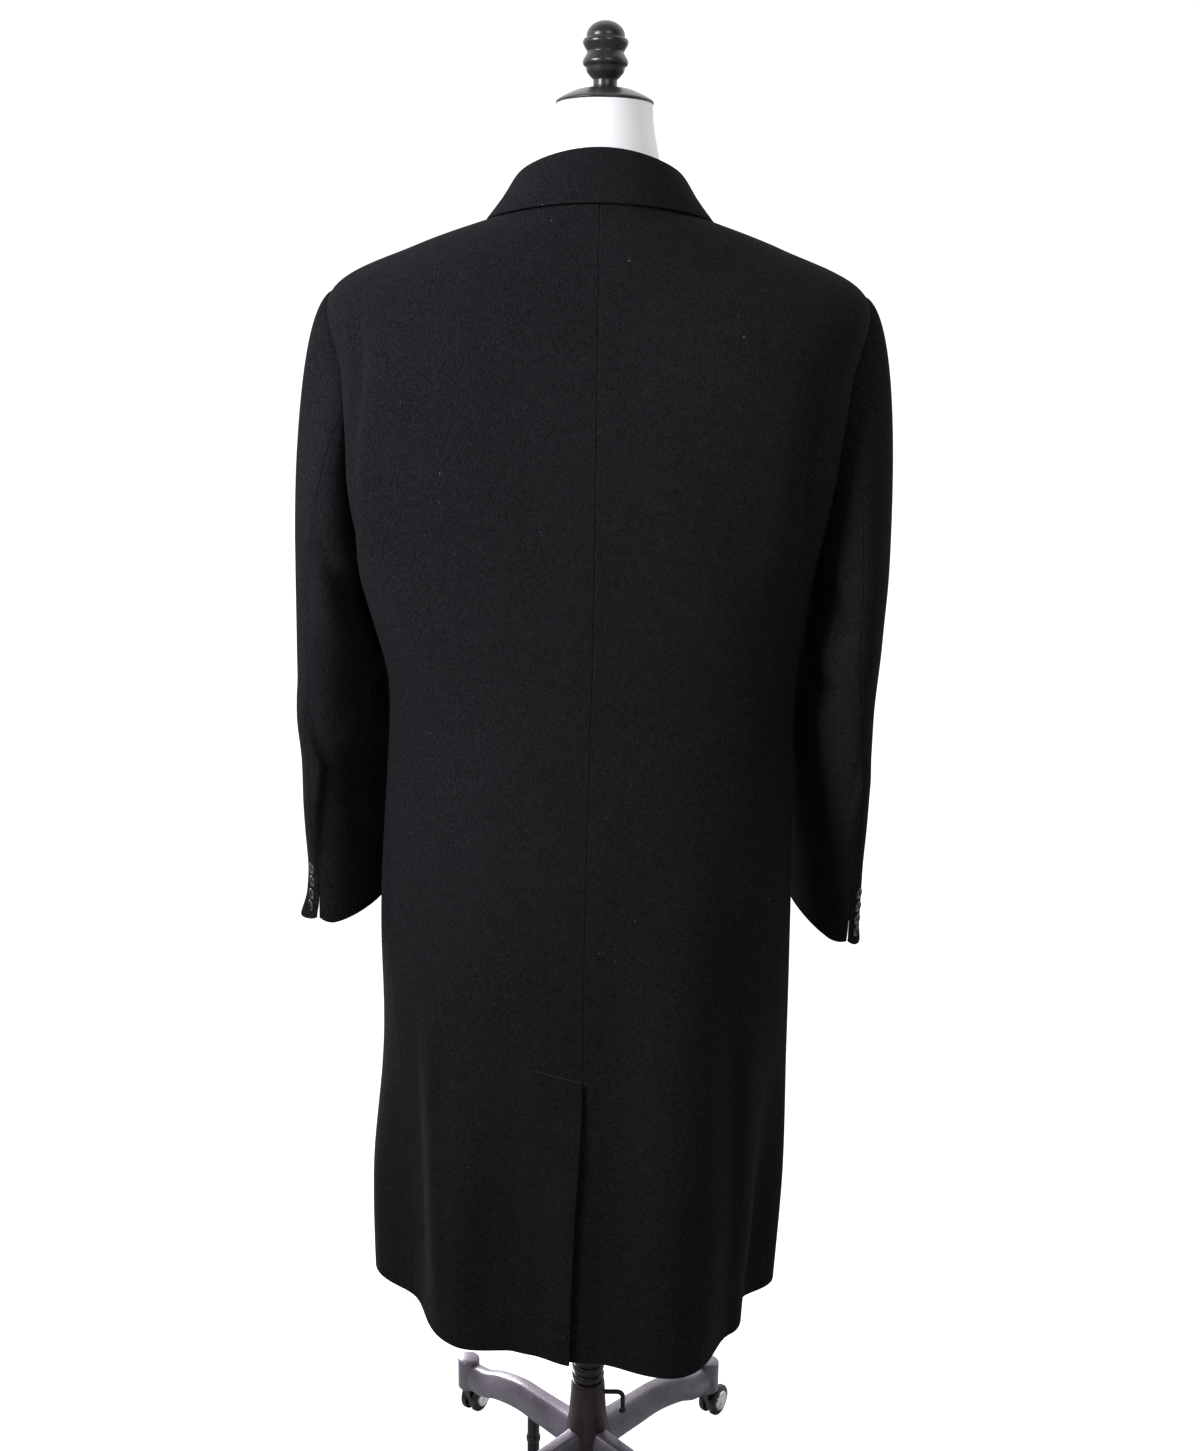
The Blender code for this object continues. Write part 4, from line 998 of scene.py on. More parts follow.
@dataclass(frozen=True)
class Crease:
    """A ridge or groove that hanging cloth falls into, along a path seen from behind.

    The path holds points (x, z). A positive depth is a ridge. The wide flank lies on the left of
    the path's direction when X runs right and Z runs up, and the steep flank on its right.
    """

    path: tuple[tuple[float, float], ...]
    depth: float
    steep: float
    wide: float
    fade: float = 0.22

    def lift(self, points: Array) -> Array:
        """How far the crease raises points, in metres.

        Args:
            points: the points.

        Returns:
            Metres for each point.
        """
        x, z = points[..., 0], points[..., 2]
        nearest, signed, at = (np.full(x.shape, value) for value in (np.inf, 0.0, 0.0))
        travelled = 0.0
        for (x0, z0), (x1, z1) in itertools.pairwise(self.path):
            along_x, along_z = x1 - x0, z1 - z0
            length = math.hypot(along_x, along_z)
            share = np.clip(((x - x0) * along_x + (z - z0) * along_z) / length ** 2, 0.0, 1.0)
            off_x, off_z = x - x0 - share * along_x, z - z0 - share * along_z
            gap = np.hypot(off_x, off_z)
            nearer = gap < nearest
            turned = np.copysign(gap, along_x * off_z - along_z * off_x)
            nearest, signed = np.where(nearer, gap, nearest), np.where(nearer, turned, signed)
            at = np.where(nearer, travelled + share * length, at)
            travelled += length
        ends = smooth(at / (self.fade * travelled)) * smooth((travelled - at)
                                                             / (self.fade * travelled))
        flank = np.where(signed < 0.0, self.steep, self.wide)
        return self.depth * np.exp(-(signed / flank) ** 2) * ends


BACK_CREASES = (
    Crease(((0.206, 1.006), (0.212, 1.056), (0.211, 1.102), (0.208, 1.145), (0.202, 1.176),
            (0.200, 1.224), (0.202, 1.256)), 0.0040, 0.006, 0.030),
    Crease(((-0.166, 0.985), (-0.170, 1.053), (-0.172, 1.110), (-0.175, 1.152), (-0.183, 1.185),
            (-0.190, 1.210)), 0.0045, 0.030, 0.007),
    Crease(((0.209, 1.254), (0.207, 1.219), (0.210, 1.176), (0.216, 1.144), (0.218, 1.102),
            (0.220, 1.055), (0.213, 1.009)), -0.0060, 0.007, 0.008),
    Crease(((-0.201, 1.261), (-0.205, 1.230), (-0.201, 1.204), (-0.192, 1.181),
            (-0.183, 1.152), (-0.180, 1.110), (-0.178, 1.053), (-0.175, 0.998),
            (-0.174, 0.958)), -0.0042, 0.008, 0.020),
    Crease(((0.154, 0.620), (0.152, 0.550), (0.149, 0.438), (0.145, 0.300)), 0.0042, 0.006, 0.018),
    Crease(((0.172, 0.640), (0.170, 0.560), (0.166, 0.440), (0.163, 0.300)), -0.0032, 0.008, 0.008),
    Crease(((-0.146, 0.645), (-0.145, 0.610), (-0.144, 0.483), (-0.142, 0.318)),
           0.0042, 0.016, 0.007),
    Crease(((-0.096, 0.470), (-0.100, 0.380), (-0.104, 0.290)), -0.0040, 0.016, 0.022),
    Crease(((0.096, 0.440), (0.100, 0.360), (0.104, 0.290)), -0.0036, 0.014, 0.020),
    Crease(((0.036, 0.546), (0.022, 0.536), (0.010, 0.512)), -0.0022, 0.006, 0.010),
)
SLEEVE_CREASES = {
    1: (
        Crease(((0.258, 1.056), (0.248, 1.033), (0.226, 1.008), (0.210, 0.980), (0.200, 0.950)),
               -0.0095, 0.012, 0.018, 0.30),
        Crease(((0.276, 0.920), (0.274, 0.896), (0.267, 0.866), (0.259, 0.835), (0.262, 0.814),
                (0.267, 0.788), (0.271, 0.745), (0.275, 0.700)), 0.0060, 0.0040, 0.014, 0.25),
        Crease(((0.204, 0.919), (0.214, 0.892), (0.224, 0.866), (0.231, 0.842)),
               0.0048, 0.0035, 0.012),
        Crease(((0.203, 0.940), (0.209, 0.887), (0.214, 0.833), (0.214, 0.773), (0.211, 0.723)),
               -0.0080, 0.010, 0.014),
        Crease(((0.2010, 0.925), (0.2005, 0.880), (0.1985, 0.830)), -0.0060, 0.008, 0.010, 0.3),
    ),
    -1: (
        Crease(((-0.180, 0.942), (-0.199, 0.920), (-0.224, 0.905)), -0.0065, 0.010, 0.014),
        Crease(((-0.243, 0.730), (-0.244, 0.780), (-0.250, 0.820), (-0.254, 0.850)),
               0.0034, 0.0040, 0.012, 0.30),
        Crease(((-0.206, 1.020), (-0.214, 0.985), (-0.226, 0.955)), -0.0060, 0.010, 0.016),
    ),
}


@dataclass
class BodyShape:
    """The surface that the coat's panels lie on, and that the form follows inside them."""

    sections: tuple[Section, ...] = SECTIONS
    folds: tuple[Fold, ...] = FOLDS
    drapes: tuple[Drape, ...] = DRAPES
    ripple: float = 0.0011
    snug: float = 0.45
    snug_at: float = 1.25
    snug_over: float = 0.5
    quick_share: float = 0.32
    slow_cell: tuple[float, float, float] = (0.075, 0.075, 0.26)
    quick_cell: tuple[float, float, float] = (0.034, 0.034, 0.085)
    front_half_width: float = 0.20
    front_ring_pitch: float = 0.06
    search_steps: int = 60
    search_pace: float = 0.6

    def height(self, place: Array) -> Array:
        """The height of a ring's sides."""
        return through(self.sections, "z_side", place)

    def place_at(self, height: Array) -> Array:
        """The place of the level ring at a height below the armpit."""
        places = np.linspace(0.0, ARMPIT, 4001)
        return np.interp(height, self.height(places), places)

    @staticmethod
    def hump(angle: Array, middle: float, half_span: float) -> Array:
        """A smooth hump round the body.

        Args:
            angle: radians from the middle back.
            middle: the hump's middle, in degrees.
            half_span: the degrees from its middle to where it ends.

        Returns:
            A share for each angle, 1 at the middle.
        """
        away = (np.degrees(angle) - middle + 180.0) % 360.0 - 180.0
        return np.cos(np.pi / 2 * np.clip(away / half_span, -1.0, 1.0)) ** 2

    def fold_depth(self, angle: Array, height: Array) -> Array:
        """How far the folds push the skirt out.

        Args:
            angle: radians from the middle back.
            height: heights on the coat.

        Returns:
            Metres for each angle and height.
        """
        total = np.zeros(np.broadcast(angle, height).shape)
        for fold in self.folds:
            fade = smooth((fold.ends - height) / (fold.ends - fold.full_below))
            total = total + fold.depth * self.hump(angle, fold.angle, fold.half_span) * fade
        return total

    def drape_reach(self, angle: Array, height: Array) -> Array:
        """How far the drapes push the back sideways.

        Args:
            angle: radians from the middle back.
            height: heights on the coat.

        Returns:
            Metres for each angle and height.
        """
        total = np.zeros(np.broadcast(angle, height).shape)
        for drape in self.drapes:
            rise = np.clip((height - drape.low) / (drape.high - drape.low), 0.0, 1.0)
            total = total + (drape.reach * self.hump(angle, drape.angle, drape.half_span)
                             * np.sin(np.pi * rise) ** 2)
        return total

    def point(self, angle: Array, place: Array, folded: bool = True) -> Array:
        """Points of the surface.

        Args:
            angle: radians from the middle back, positive to the wearer's left.
            place: fractional ring numbers.
            folded: whether the folds and drapes are in it.

        Returns:
            The points, one for each angle and place.
        """
        angle, place = np.broadcast_arrays(np.asarray(angle, float), np.asarray(place, float))
        sine, cosine = np.sin(angle), np.cos(angle)
        back = cosine >= 0
        read = {name: through(self.sections, name, place) for name in Section._fields}
        depth = np.where(back, read["y_back"], read["y_front"])
        square = np.where(back, read["square_back"], read["square_front"])
        reach = (np.abs(sine) ** square + np.abs(cosine) ** square) ** (-1.0 / square)
        x, y = read["half_width"] * reach * sine, depth * reach * cosine
        z = mix(read["z_side"], np.where(back, read["z_back"], read["z_front"]), cosine ** 2)
        if folded:
            out = unit(np.stack([x / read["half_width"] ** 2, y / depth ** 2], -1))
            push = self.fold_depth(angle, z)
            x = x + out[..., 0] * push + np.copysign(self.drape_reach(angle, z), sine)
            y = y + out[..., 1] * push
        x = x + (read["x_mid"] if folded else np.minimum(read["x_mid"], SHIFT))
        return np.stack([x, y, z], -1)

    def normal(self, angle: Array, place: Array, folded: bool = True) -> Array:
        """Outward normals of the surface.

        Args:
            angle: radians from the middle back.
            place: fractional ring numbers.
            folded: whether the folds and drapes are in the surface.

        Returns:
            One normal for each angle and place.
        """
        along = self.point(angle + TINY, place, folded) - self.point(angle - TINY, place, folded)
        up = self.point(angle, place + TINY, folded) - self.point(angle, place - TINY, folded)
        return unit(np.cross(up, along))

    def angle_for(self, metres: Array, angle: Array, place: Array) -> Array:
        """The change of angle that moves a point round by so many metres."""
        step = self.point(angle + TINY, place) - self.point(angle - TINY, place)
        return metres * 2.0 * TINY / np.linalg.norm(step, axis=-1)

    def on_front(self, x: Array, z: Array) -> tuple[Array, Array]:
        """The angle and place of the front's points that show at x, z from the front.

        Args:
            x: places across the front.
            z: their heights.

        Returns:
            The angles and the fractional ring numbers.
        """
        angle = np.pi - x / self.front_half_width
        armpit_z = SECTIONS[ARMPIT].z_front
        place = np.where(z < armpit_z, self.place_at(z),
                         ARMPIT + (z - armpit_z) / self.front_ring_pitch)
        pace = self.search_pace
        for _ in range(self.search_steps):
            place = np.minimum(place, NECKLINE - 0.01)
            here = self.point(angle, place)
            d_angle = (self.point(angle + TINY, place) - here) / TINY
            d_place = (self.point(angle, place + TINY) - here) / TINY
            off_x, off_z = x - here[..., 0], z - here[..., 2]
            area = d_angle[..., 0] * d_place[..., 2] - d_angle[..., 2] * d_place[..., 0]
            angle = angle + pace * (off_x * d_place[..., 2] - off_z * d_place[..., 0]) / area
            place = place + pace * (d_angle[..., 0] * off_z - d_angle[..., 2] * off_x) / area
        return angle, place

    def relief(self, points: Array) -> Array:
        """Slow unevenness of worn cloth, the same for neighbouring pieces at their seam.

        Args:
            points: points of the coat.

        Returns:
            How far each point is raised, in metres.
        """
        loose = mix(self.snug, 1.0, smooth((self.snug_at - points[..., 2]) / self.snug_over))
        slow = soft_noise(points, self.slow_cell, 11)
        quick = soft_noise(points, self.quick_cell, 12)
        behind = smooth((points[..., 1] - 0.02) / 0.04)
        creased = sum(crease.lift(points) for crease in BACK_CREASES)
        return self.ripple * loose * (slow + self.quick_share * quick) + creased * behind


@dataclass
class CoatBody:
    """The backs and fronts, between the middle back, the side seams and the front edges."""

    shape: BodyShape
    cloth: float = 0.0025
    seam: float = -0.0001
    lap: float = 0.0009
    vent_top: float = 0.5640
    vent_lap: float = 0.040
    vent_slant: float = 0.004
    vent_rise: float = 0.20
    vent_step: float = 0.0055
    vent_gape: float = 0.0034
    gape_height: float = 0.09
    gape_width: float = 0.035
    vent_beyond: float = 0.022
    vent_fade: float = 0.020
    front_lap: float = 0.024
    lift_fade: float = 0.030
    armhole_half_angle: float = 25.0
    side_seam_angle: float = 65.0
    side_seam_top_angle: float = 88.0
    side_seam_turns_at: float = 0.62
    break_point: tuple[float, float] = (-0.023, 0.992)
    roll_top: tuple[float, float] = (0.0605, 1.3175)
    armhole_reach: float = 0.55
    flap_reach: float = 0.14
    edge_steps: tuple[float, ...] = (0.0, 0.0002, 0.0005, 0.0010, 0.0017, 0.0028)
    columns: int = 58
    row_step: float = 0.0065
    hem_band: float = 0.006
    armpit_band: float = 0.003
    vent_band: tuple[float, float] = (0.010, 0.014)
    vent_rows: int = 26
    armhole_rows: int = 46
    shoulder_rows: int = 34
    pieces: dict[str, ClothPiece] = field(default_factory=dict)

    def places(self) -> Array:
        """The rings at which a panel has a row of points.

        Returns:
            Fractional ring numbers.
        """
        hem = self.shape.sections[0].z_side
        below, above = self.vent_band
        slant = np.linspace(self.vent_top - below, self.vent_top + above, self.vent_rows)
        plain = np.arange(hem + self.hem_band, SECTIONS[ARMPIT].z_side - self.armpit_band,
                          self.row_step)
        clear = plain[(plain < slant[0] - 0.002) | (plain > slant[-1] + 0.002)]
        heights = np.sort(np.concatenate([hem + np.array(self.edge_steps), slant, clear]))
        rise = (1.0 - np.cos(np.linspace(0.0, np.pi, self.armhole_rows))) / 2
        top = mix(SHOULDER_TIP, NECKLINE, np.linspace(0.0, 1.0, self.shoulder_rows)[1:])
        return np.concatenate([self.shape.place_at(heights), mix(ARMPIT, SHOULDER_TIP, rise), top])

    def side_seam(self, place: Array) -> Array:
        """The side seam's unsigned angle at a ring.

        Args:
            place: fractional ring numbers.

        Returns:
            Radians for each ring.
        """
        rise = smooth((self.shape.height(place) - self.side_seam_turns_at)
                      / (SECTIONS[ARMPIT].z_side - self.side_seam_turns_at))
        return np.radians(mix(self.side_seam_angle, self.side_seam_top_angle, rise))

    def armhole_half(self, place: Array) -> Array:
        """Half the armhole's opening at a ring, in radians.

        Args:
            place: fractional ring numbers.

        Returns:
            Radians for each ring.
        """
        share = (place - ARMPIT) / (SHOULDER_TIP - ARMPIT)
        across = np.clip(1.0 - (2.0 * share - 1.0) ** 2, 0.0, None)
        return np.radians(self.armhole_half_angle) * np.sqrt(across)

    def panel_side(self, place: Array, towards_back: bool) -> Array:
        """The unsigned angle at which a back or front ends, with no armhole cut out of it.

        Args:
            place: fractional ring numbers.
            towards_back: whether the panel is a back.

        Returns:
            Radians for each ring.
        """
        angle = np.where(place <= ARMPIT, self.side_seam(place), np.pi / 2)
        gap = self.shape.angle_for(self.seam / 2, angle, place)
        sewn = (place <= ARMPIT) | (place >= SHOULDER_TIP)
        return angle + np.where(sewn, -gap if towards_back else gap, 0.0)

    def vent_lift(self, angle: Array, place: Array) -> Array:
        """How far the left back is raised off the flap under it.

        Args:
            angle: radians from the middle back.
            place: fractional ring numbers.

        Returns:
            Metres for each angle and ring.
        """
        away = np.abs(angle) / self.shape.angle_for(1.0, angle, place)
        sideways = smooth((self.vent_lap + self.vent_beyond - away) / self.vent_fade)
        below = self.vent_top + self.vent_rise * away - self.shape.height(place)
        upward = smooth(below / self.vent_step)
        gape = (self.vent_gape * smooth(below / self.gape_height)
                * smooth(1.0 - away / self.gape_width))
        return ((self.cloth + self.lap) * sideways + gape) * upward

    def front_lift(self, angle: Array, place: Array) -> Array:
        """How far the left front is raised off the right one under it.

        Args:
            angle: radians from the middle back.
            place: fractional ring numbers.

        Returns:
            Metres for each angle and ring.
        """
        away = np.abs(np.pi - angle) / self.shape.angle_for(1.0, angle, place)
        faded = smooth((self.front_lap + self.lift_fade - away) / (0.9 * self.lift_fade))
        return (self.cloth + self.lap) * np.where(angle > np.pi, 1.0, faded)

    def no_lift(self, angle: Array, place: Array) -> Array:
        """No lift, for a panel that lies on nothing else."""
        return np.zeros(np.broadcast(angle, place).shape)

    def roll_angle(self, side: int, place: Array) -> Array:
        """The unsigned angle at which the roll line crosses a ring above the break.

        Args:
            side: 1 on the wearer's left, -1 on the right.
            place: fractional ring numbers.

        Returns:
            Radians for each ring.
        """
        low = np.full(place.shape, np.radians(95.0))
        high = np.full(place.shape, np.radians(192.0))
        (break_x, break_z), (top_x, top_z) = self.break_point, self.roll_top
        for _ in range(40):
            middle = (low + high) / 2
            point = self.shape.point(side * middle, place)
            line = mix(break_x, top_x, (point[..., 2] - break_z) / (top_z - break_z))
            beyond = side * (point[..., 0] - SHIFT) > line
            low, high = np.where(beyond, middle, low), np.where(beyond, high, middle)
        return (low + high) / 2

    def front_edge(self, side: int, place: Array) -> Array:
        """The unsigned angle of a front's edge, along the lap and then the roll line.

        Args:
            side: 1 on the wearer's left, -1 on the right.
            place: fractional ring numbers.

        Returns:
            Radians for each ring.
        """
        lap = np.pi + self.shape.angle_for(self.front_lap, np.pi, np.minimum(place, ARMPIT))
        above = place > self.shape.place_at(self.break_point[1])
        return np.where(above, np.minimum(lap, self.roll_angle(side, place)), lap)

    def under_flap(self, place: Array) -> Array:
        """How far the right back carries on under the left at the vent."""
        share = np.clip((self.vent_top - self.shape.height(place)) / self.vent_slant, 0.0, 1.0)
        return -self.shape.angle_for(self.vent_lap, 0.0, place) * share

    def panel(self, name: str, side: int, first: Array, last: Array,
              lift: Callable[[Array, Array], Array],
              first_shift: tuple[Array, float] | None = None,
              last_shift: tuple[Array, float] | None = None) -> ClothPiece:
        """Builds a panel between two edges.

        Args:
            name: the CAD node's name.
            side: 1 on the wearer's left, -1 on the right.
            first: the unsigned angle of its first edge at each ring.
            last: the same for its last edge.
            lift: how far its points are raised.
            first_shift: angles to move the first edge by, and the share of the width that follows.
            last_shift: the same for the last edge.

        Returns:
            The cloth piece.
        """
        place = self.places()[:, None]
        first, last = first[:, None], last[:, None]
        steps = np.array(self.edge_steps)[None, :]
        fit = np.minimum(1.0, 0.25 * (last - first)
                         / self.shape.angle_for(steps[0, -1], last, place))
        near = first + self.shape.angle_for(steps, first, place) * fit
        far = last - self.shape.angle_for(steps[:, ::-1], last, place) * fit
        shares = np.linspace(0.0, 1.0, self.columns)[None, 1:-1]
        angle = np.concatenate([near, mix(near[:, -1:], far[:, :1], shares), far], axis=1)
        share = (angle - first) / (last - first)
        for shift, away in ((first_shift, share), (last_shift, 1.0 - share)):
            if shift is not None:
                angle = angle + shift[0][:, None] * np.clip(1.0 - away / shift[1], 0.0, None)
        normal = self.shape.normal(side * angle, place)
        show = self.shape.point(side * angle, place)
        rise = lift(side * angle, place) + self.shape.relief(show)
        piece = ClothPiece(f"{name}_cloth", show + normal * rise[..., None], normal, self.cloth)
        piece.build()
        self.pieces[name] = piece
        return piece

    def build(self) -> None:
        """Builds the four panels."""
        place = self.places()
        middle = self.shape.angle_for(self.seam / 2, 0.0, place)
        back_end, front_start = self.panel_side(place, True), self.panel_side(place, False)
        armhole = self.armhole_half(place)
        self.panel("back_left", 1, middle, back_end, self.vent_lift,
                   last_shift=(-armhole, self.armhole_reach))
        self.panel("back_right", -1, middle, back_end, self.no_lift,
                   first_shift=(self.under_flap(place), self.flap_reach),
                   last_shift=(-armhole, self.armhole_reach))
        self.panel("front_left", 1, front_start, self.front_edge(1, place), self.front_lift,
                   first_shift=(armhole, self.armhole_reach))
        self.panel("front_right", -1, front_start, self.front_edge(-1, place), self.no_lift,
                   first_shift=(armhole, self.armhole_reach))

    def hand_over(self) -> None:
        """Hides the panels' CAD nodes and puts the panels on the figure's body."""
        for name, piece in self.pieces.items():
            piece.hand_over(name, "hung", ["form"])


@dataclass
class Lapels:
    """The turned-back facings, each from the break up to the gorge, lying on its front."""

    body: CoatBody
    facing: float = 0.0022
    roll_top: tuple[float, float] = (0.0575, 1.300)
    tip: tuple[float, float] = (0.137, 1.236)
    belly: float = 0.007
    right_start: float = 0.20
    left_start: float = 0.05
    under_left_edge: float = 0.004
    roll_rise: float = 0.004
    roll_turn: float = 130.0
    roll_steps: int = 10
    edge_share: float = 2.4
    rows: int = 72
    columns: int = 26
    pieces: dict[str, ClothPiece] = field(default_factory=dict)

    def build_one(self, hand: str, side: int) -> None:
        """Builds the lapel of one side.

        Args:
            hand: the side's name.
            side: 1 on the wearer's left, -1 on the right.
        """
        shape, steps = self.body.shape, np.array(self.body.edge_steps)
        start = self.left_start if side > 0 else self.right_start
        ends = steps * self.edge_share
        share = mix(start, 1.0, np.concatenate([ends, np.linspace(0.02, 0.98, self.rows),
                                                1.0 - ends[::-1]]))[:, None]
        (break_x, break_z), (top_x, top_z) = self.body.break_point, self.roll_top
        roll_x, roll_z = mix(break_x, top_x, share), mix(break_z, top_z, share)
        edge_x = mix(break_x, self.tip[0], share) + self.belly * np.sin(np.pi * share)
        edge_z = mix(break_z, self.tip[1], share)
        if side < 0:
            roll_x = np.maximum(roll_x, self.under_left_edge - roll_x)
        width = np.hypot(edge_x - roll_x, edge_z - roll_z)
        near = np.minimum(steps[None] / width, 0.2)
        across = np.concatenate([near, mix(near[:, -1:], 1.0 - near[:, -1:],
                                           np.linspace(0, 1, self.columns)[None, 1:-1]),
                                 1.0 - near[:, ::-1]], axis=1)
        x, z = mix(roll_x, edge_x, across), mix(roll_z, edge_z, across)
        angle, place = shape.on_front(side * x + SHIFT, z)
        if side < 0:
            angle = np.where(angle > 0, angle - math.tau, angle)
        normal = shape.normal(angle, place)
        lift = self.body.front_lift(angle, place) if side > 0 else 0.0
        rise = self.body.lap + self.facing + (self.roll_rise * (1.0 - across) ** 2
                                              * smooth(share * 4.0))
        point = shape.point(angle, place)
        show = point + normal * (lift + rise + shape.relief(point))[..., None]
        show, normal = self.rolled(show, normal, np.broadcast_to(rise, across.shape)[:, :1])
        piece = ClothPiece(f"lapel_{hand}_cloth", show, normal, self.facing)
        piece.build()
        self.pieces[f"lapel_{hand}"] = piece

    def rolled(self, show: Array, normal: Array, rise: Array) -> tuple[Array, Array]:
        """Adds the roll, where the facing turns round the front's edge to the coat's inside.

        Args:
            show: the facing's show points, from the roll line outward.
            normal: their normals.
            rise: how far the roll line lies off the front.

        Returns:
            The show points and normals with the roll's own before them.
        """
        edge, up = show[:, :1], normal[:, :1]
        past_edge = len(self.body.edge_steps) + 2
        away = unit(edge - show[:, past_edge:past_edge + 1])
        away = unit(away - up * (away * up).sum(-1, keepdims=True))
        radius = ((rise + self.body.cloth) / 2)[..., None]
        turn = np.radians(np.linspace(self.roll_turn, 0.0, self.roll_steps + 1)[:-1])
        turn = turn[None, :, None]
        round_points = (edge - up * radius + up * radius * np.cos(turn)
                        + away * radius * np.sin(turn))
        return (np.concatenate([round_points, show], axis=1),
                np.concatenate([up * np.cos(turn) + away * np.sin(turn), normal], axis=1))

    def build(self) -> None:
        """Builds both lapels."""
        self.build_one("left", 1)
        self.build_one("right", -1)

    def hand_over(self) -> None:
        """Hides the lapels' CAD nodes and puts the lapels on the figure's body."""
        for name, piece in self.pieces.items():
            piece.hand_over(name, "folded", [name.replace("lapel", "front") + "_cloth"])


# ---------------------------------------------------------------- the collar
class Strip(NamedTuple):
    """A line along the collar, from its middle back over the shoulder to its front end."""

    half_width: float
    y_back: float
    z_back: float
    z_side: float
    x_end: float
    y_end: float
    z_end: float


COLLAR_STRIPS = tuple(Strip(*row) for row in (
    (0.0780, 0.0745, 1.3470, 1.3405, 0.0570, -0.0420, 1.3200),
    (0.0700, 0.0645, 1.3640, 1.3520, 0.0548, -0.0490, 1.3170),
    (0.0655, 0.0575, 1.3800, 1.3640, 0.0550, -0.0555, 1.3120),
    (0.0700, 0.0610, 1.3865, 1.3715, 0.0590, -0.0610, 1.3065),
    (0.0765, 0.0670, 1.3815, 1.3660, 0.0722, -0.0676, 1.2951),
    (0.0875, 0.0770, 1.3620, 1.3490, 0.1003, -0.0780, 1.2716),
    (0.1020, 0.0845, 1.3393, 1.3305, 0.1275, -0.0622, 1.2895),
))


@dataclass
class Collar:
    """The collar in one piece: up its stand, over the crest and down its fall."""

    body: CoatBody
    facing: float = 0.0022
    side_share: float = 0.62
    half_length: float = 0.25
    end_from: float = 0.985
    last_pitch: float = 0.022
    last_band: float = 0.16
    columns: int = 150
    rows: int = 64
    piece: ClothPiece = field(init=False)

    def point(self, along: Array, place: Array) -> Array:
        """Points of the collar: along runs from -1 at its right end to 1 at its left.

        Args:
            along: places along the collar.
            place: fractional numbers of its strips.

        Returns:
            One point for each pair.
        """
        along, place = np.broadcast_arrays(along, place)
        strip = {name: through(COLLAR_STRIPS, name, place) for name in Strip._fields}
        side, share = np.copysign(1.0, along), np.abs(along)
        angle = np.pi / 2 * np.minimum(share / self.side_share, 1.0)
        front = np.clip((share - self.side_share) / (1.0 - self.side_share), 0.0, 1.0)
        behind = share <= self.side_share
        x = np.where(behind, strip["half_width"] * np.sin(angle),
                     mix(strip["half_width"], strip["x_end"], front ** 2))
        y = np.where(behind, strip["y_back"] * np.cos(angle), strip["y_end"] * front)
        z = np.where(behind, mix(strip["z_side"], strip["z_back"], np.cos(angle) ** 2),
                     mix(strip["z_side"], strip["z_end"], 0.25 * front + 0.75 * front ** 2))
        return np.stack([side * x + SHIFT, y, z], -1)

    def build(self) -> None:
        """Builds the collar."""
        steps = np.array(self.body.edge_steps)
        ends = steps / self.half_length
        along = np.concatenate([-1.0 + ends, np.linspace(-self.end_from, self.end_from,
                                                         self.columns), 1.0 - ends[::-1]])[None]
        last = len(COLLAR_STRIPS) - 1.0
        place = np.concatenate([np.linspace(0.0, last - self.last_band, self.rows),
                                last - steps[::-1] / self.last_pitch])[:, None]
        show = self.point(along, place)
        outward = unit(np.cross(np.gradient(show, axis=1), np.gradient(show, axis=0)))
        self.piece = ClothPiece("collar_cloth", show, outward, self.facing)
        self.piece.build()

    def hand_over(self) -> None:
        """Hides the collar's CAD node and puts the collar on the figure's body."""
        self.piece.hand_over("collar", "folded", ["back_left_cloth", "back_right_cloth"])


# ---------------------------------------------------------------- the sleeves
class Ring(NamedTuple):
    """A ring of a sleeve below its cap. Tilt lifts its front, and yaw turns it to the body."""

    z: float
    x_mid: float
    y_mid: float
    half_x: float
    half_y: float
    tilt: float
    yaw: float
    seam_angle: float


SLEEVE_RINGS = {
    1: tuple(Ring(*row) for row in (
        (1.015, 0.2460, -0.004, 0.0389, 0.074, 0.0, 1.0, 116),
        (0.950, 0.2448, -0.002, 0.0395, 0.071, 2.0, 6.0, 112),
        (0.885, 0.2440, -0.010, 0.0380, 0.067, 7.0, 14.0, 104),
        (0.815, 0.2444, -0.026, 0.0370, 0.064, 12.0, 20.0, 97),
        (0.750, 0.2452, -0.042, 0.0350, 0.061, 16.0, 24.0, 94),
        (0.675, 0.2472, -0.054, 0.0335, 0.059, 17.0, 26.0, 94))),
    -1: tuple(Ring(*row) for row in (
        (1.015, 0.2359, -0.002, 0.0342, 0.075, 0.0, 2.0, 90),
        (0.950, 0.2312, 0.000, 0.0350, 0.072, 2.0, 6.0, 92),
        (0.880, 0.2276, -0.009, 0.0325, 0.068, 7.0, 14.0, 97),
        (0.805, 0.2284, -0.027, 0.0290, 0.065, 14.0, 22.0, 92),
        (0.735, 0.2305, -0.044, 0.0262, 0.063, 19.0, 26.0, 84),
        (0.662, 0.2316, -0.059, 0.0245, 0.062, 22.0, 27.0, 78))),
}


@dataclass(frozen=True)
class Flare:
    """How a top piece's corner at the cuff's vent stands out."""

    most: float
    at_vent: float = 0.25
    swells_from: float = 0.006
    swells_over: float = 0.015
    reach: float = 0.060
    rises: tuple[tuple[float, float], ...] = ((0.45, 1.20), (0.55, 0.42))
    outward: float = 0.45

    def size(self, near_vent: Array, rows: Array) -> Array:
        """How far the cloth stands out sideways.

        Args:
            near_vent: metres from the vent.
            rows: rings above the cuff's edge.

        Returns:
            Metres for each place.
        """
        swell = mix(self.at_vent, 1.0, smooth((near_vent - self.swells_from) / self.swells_over))
        low = sum(share * smooth(1.0 - rows / height) for share, height in self.rises)
        return self.most * swell * low * smooth(1.0 - near_vent / self.reach)


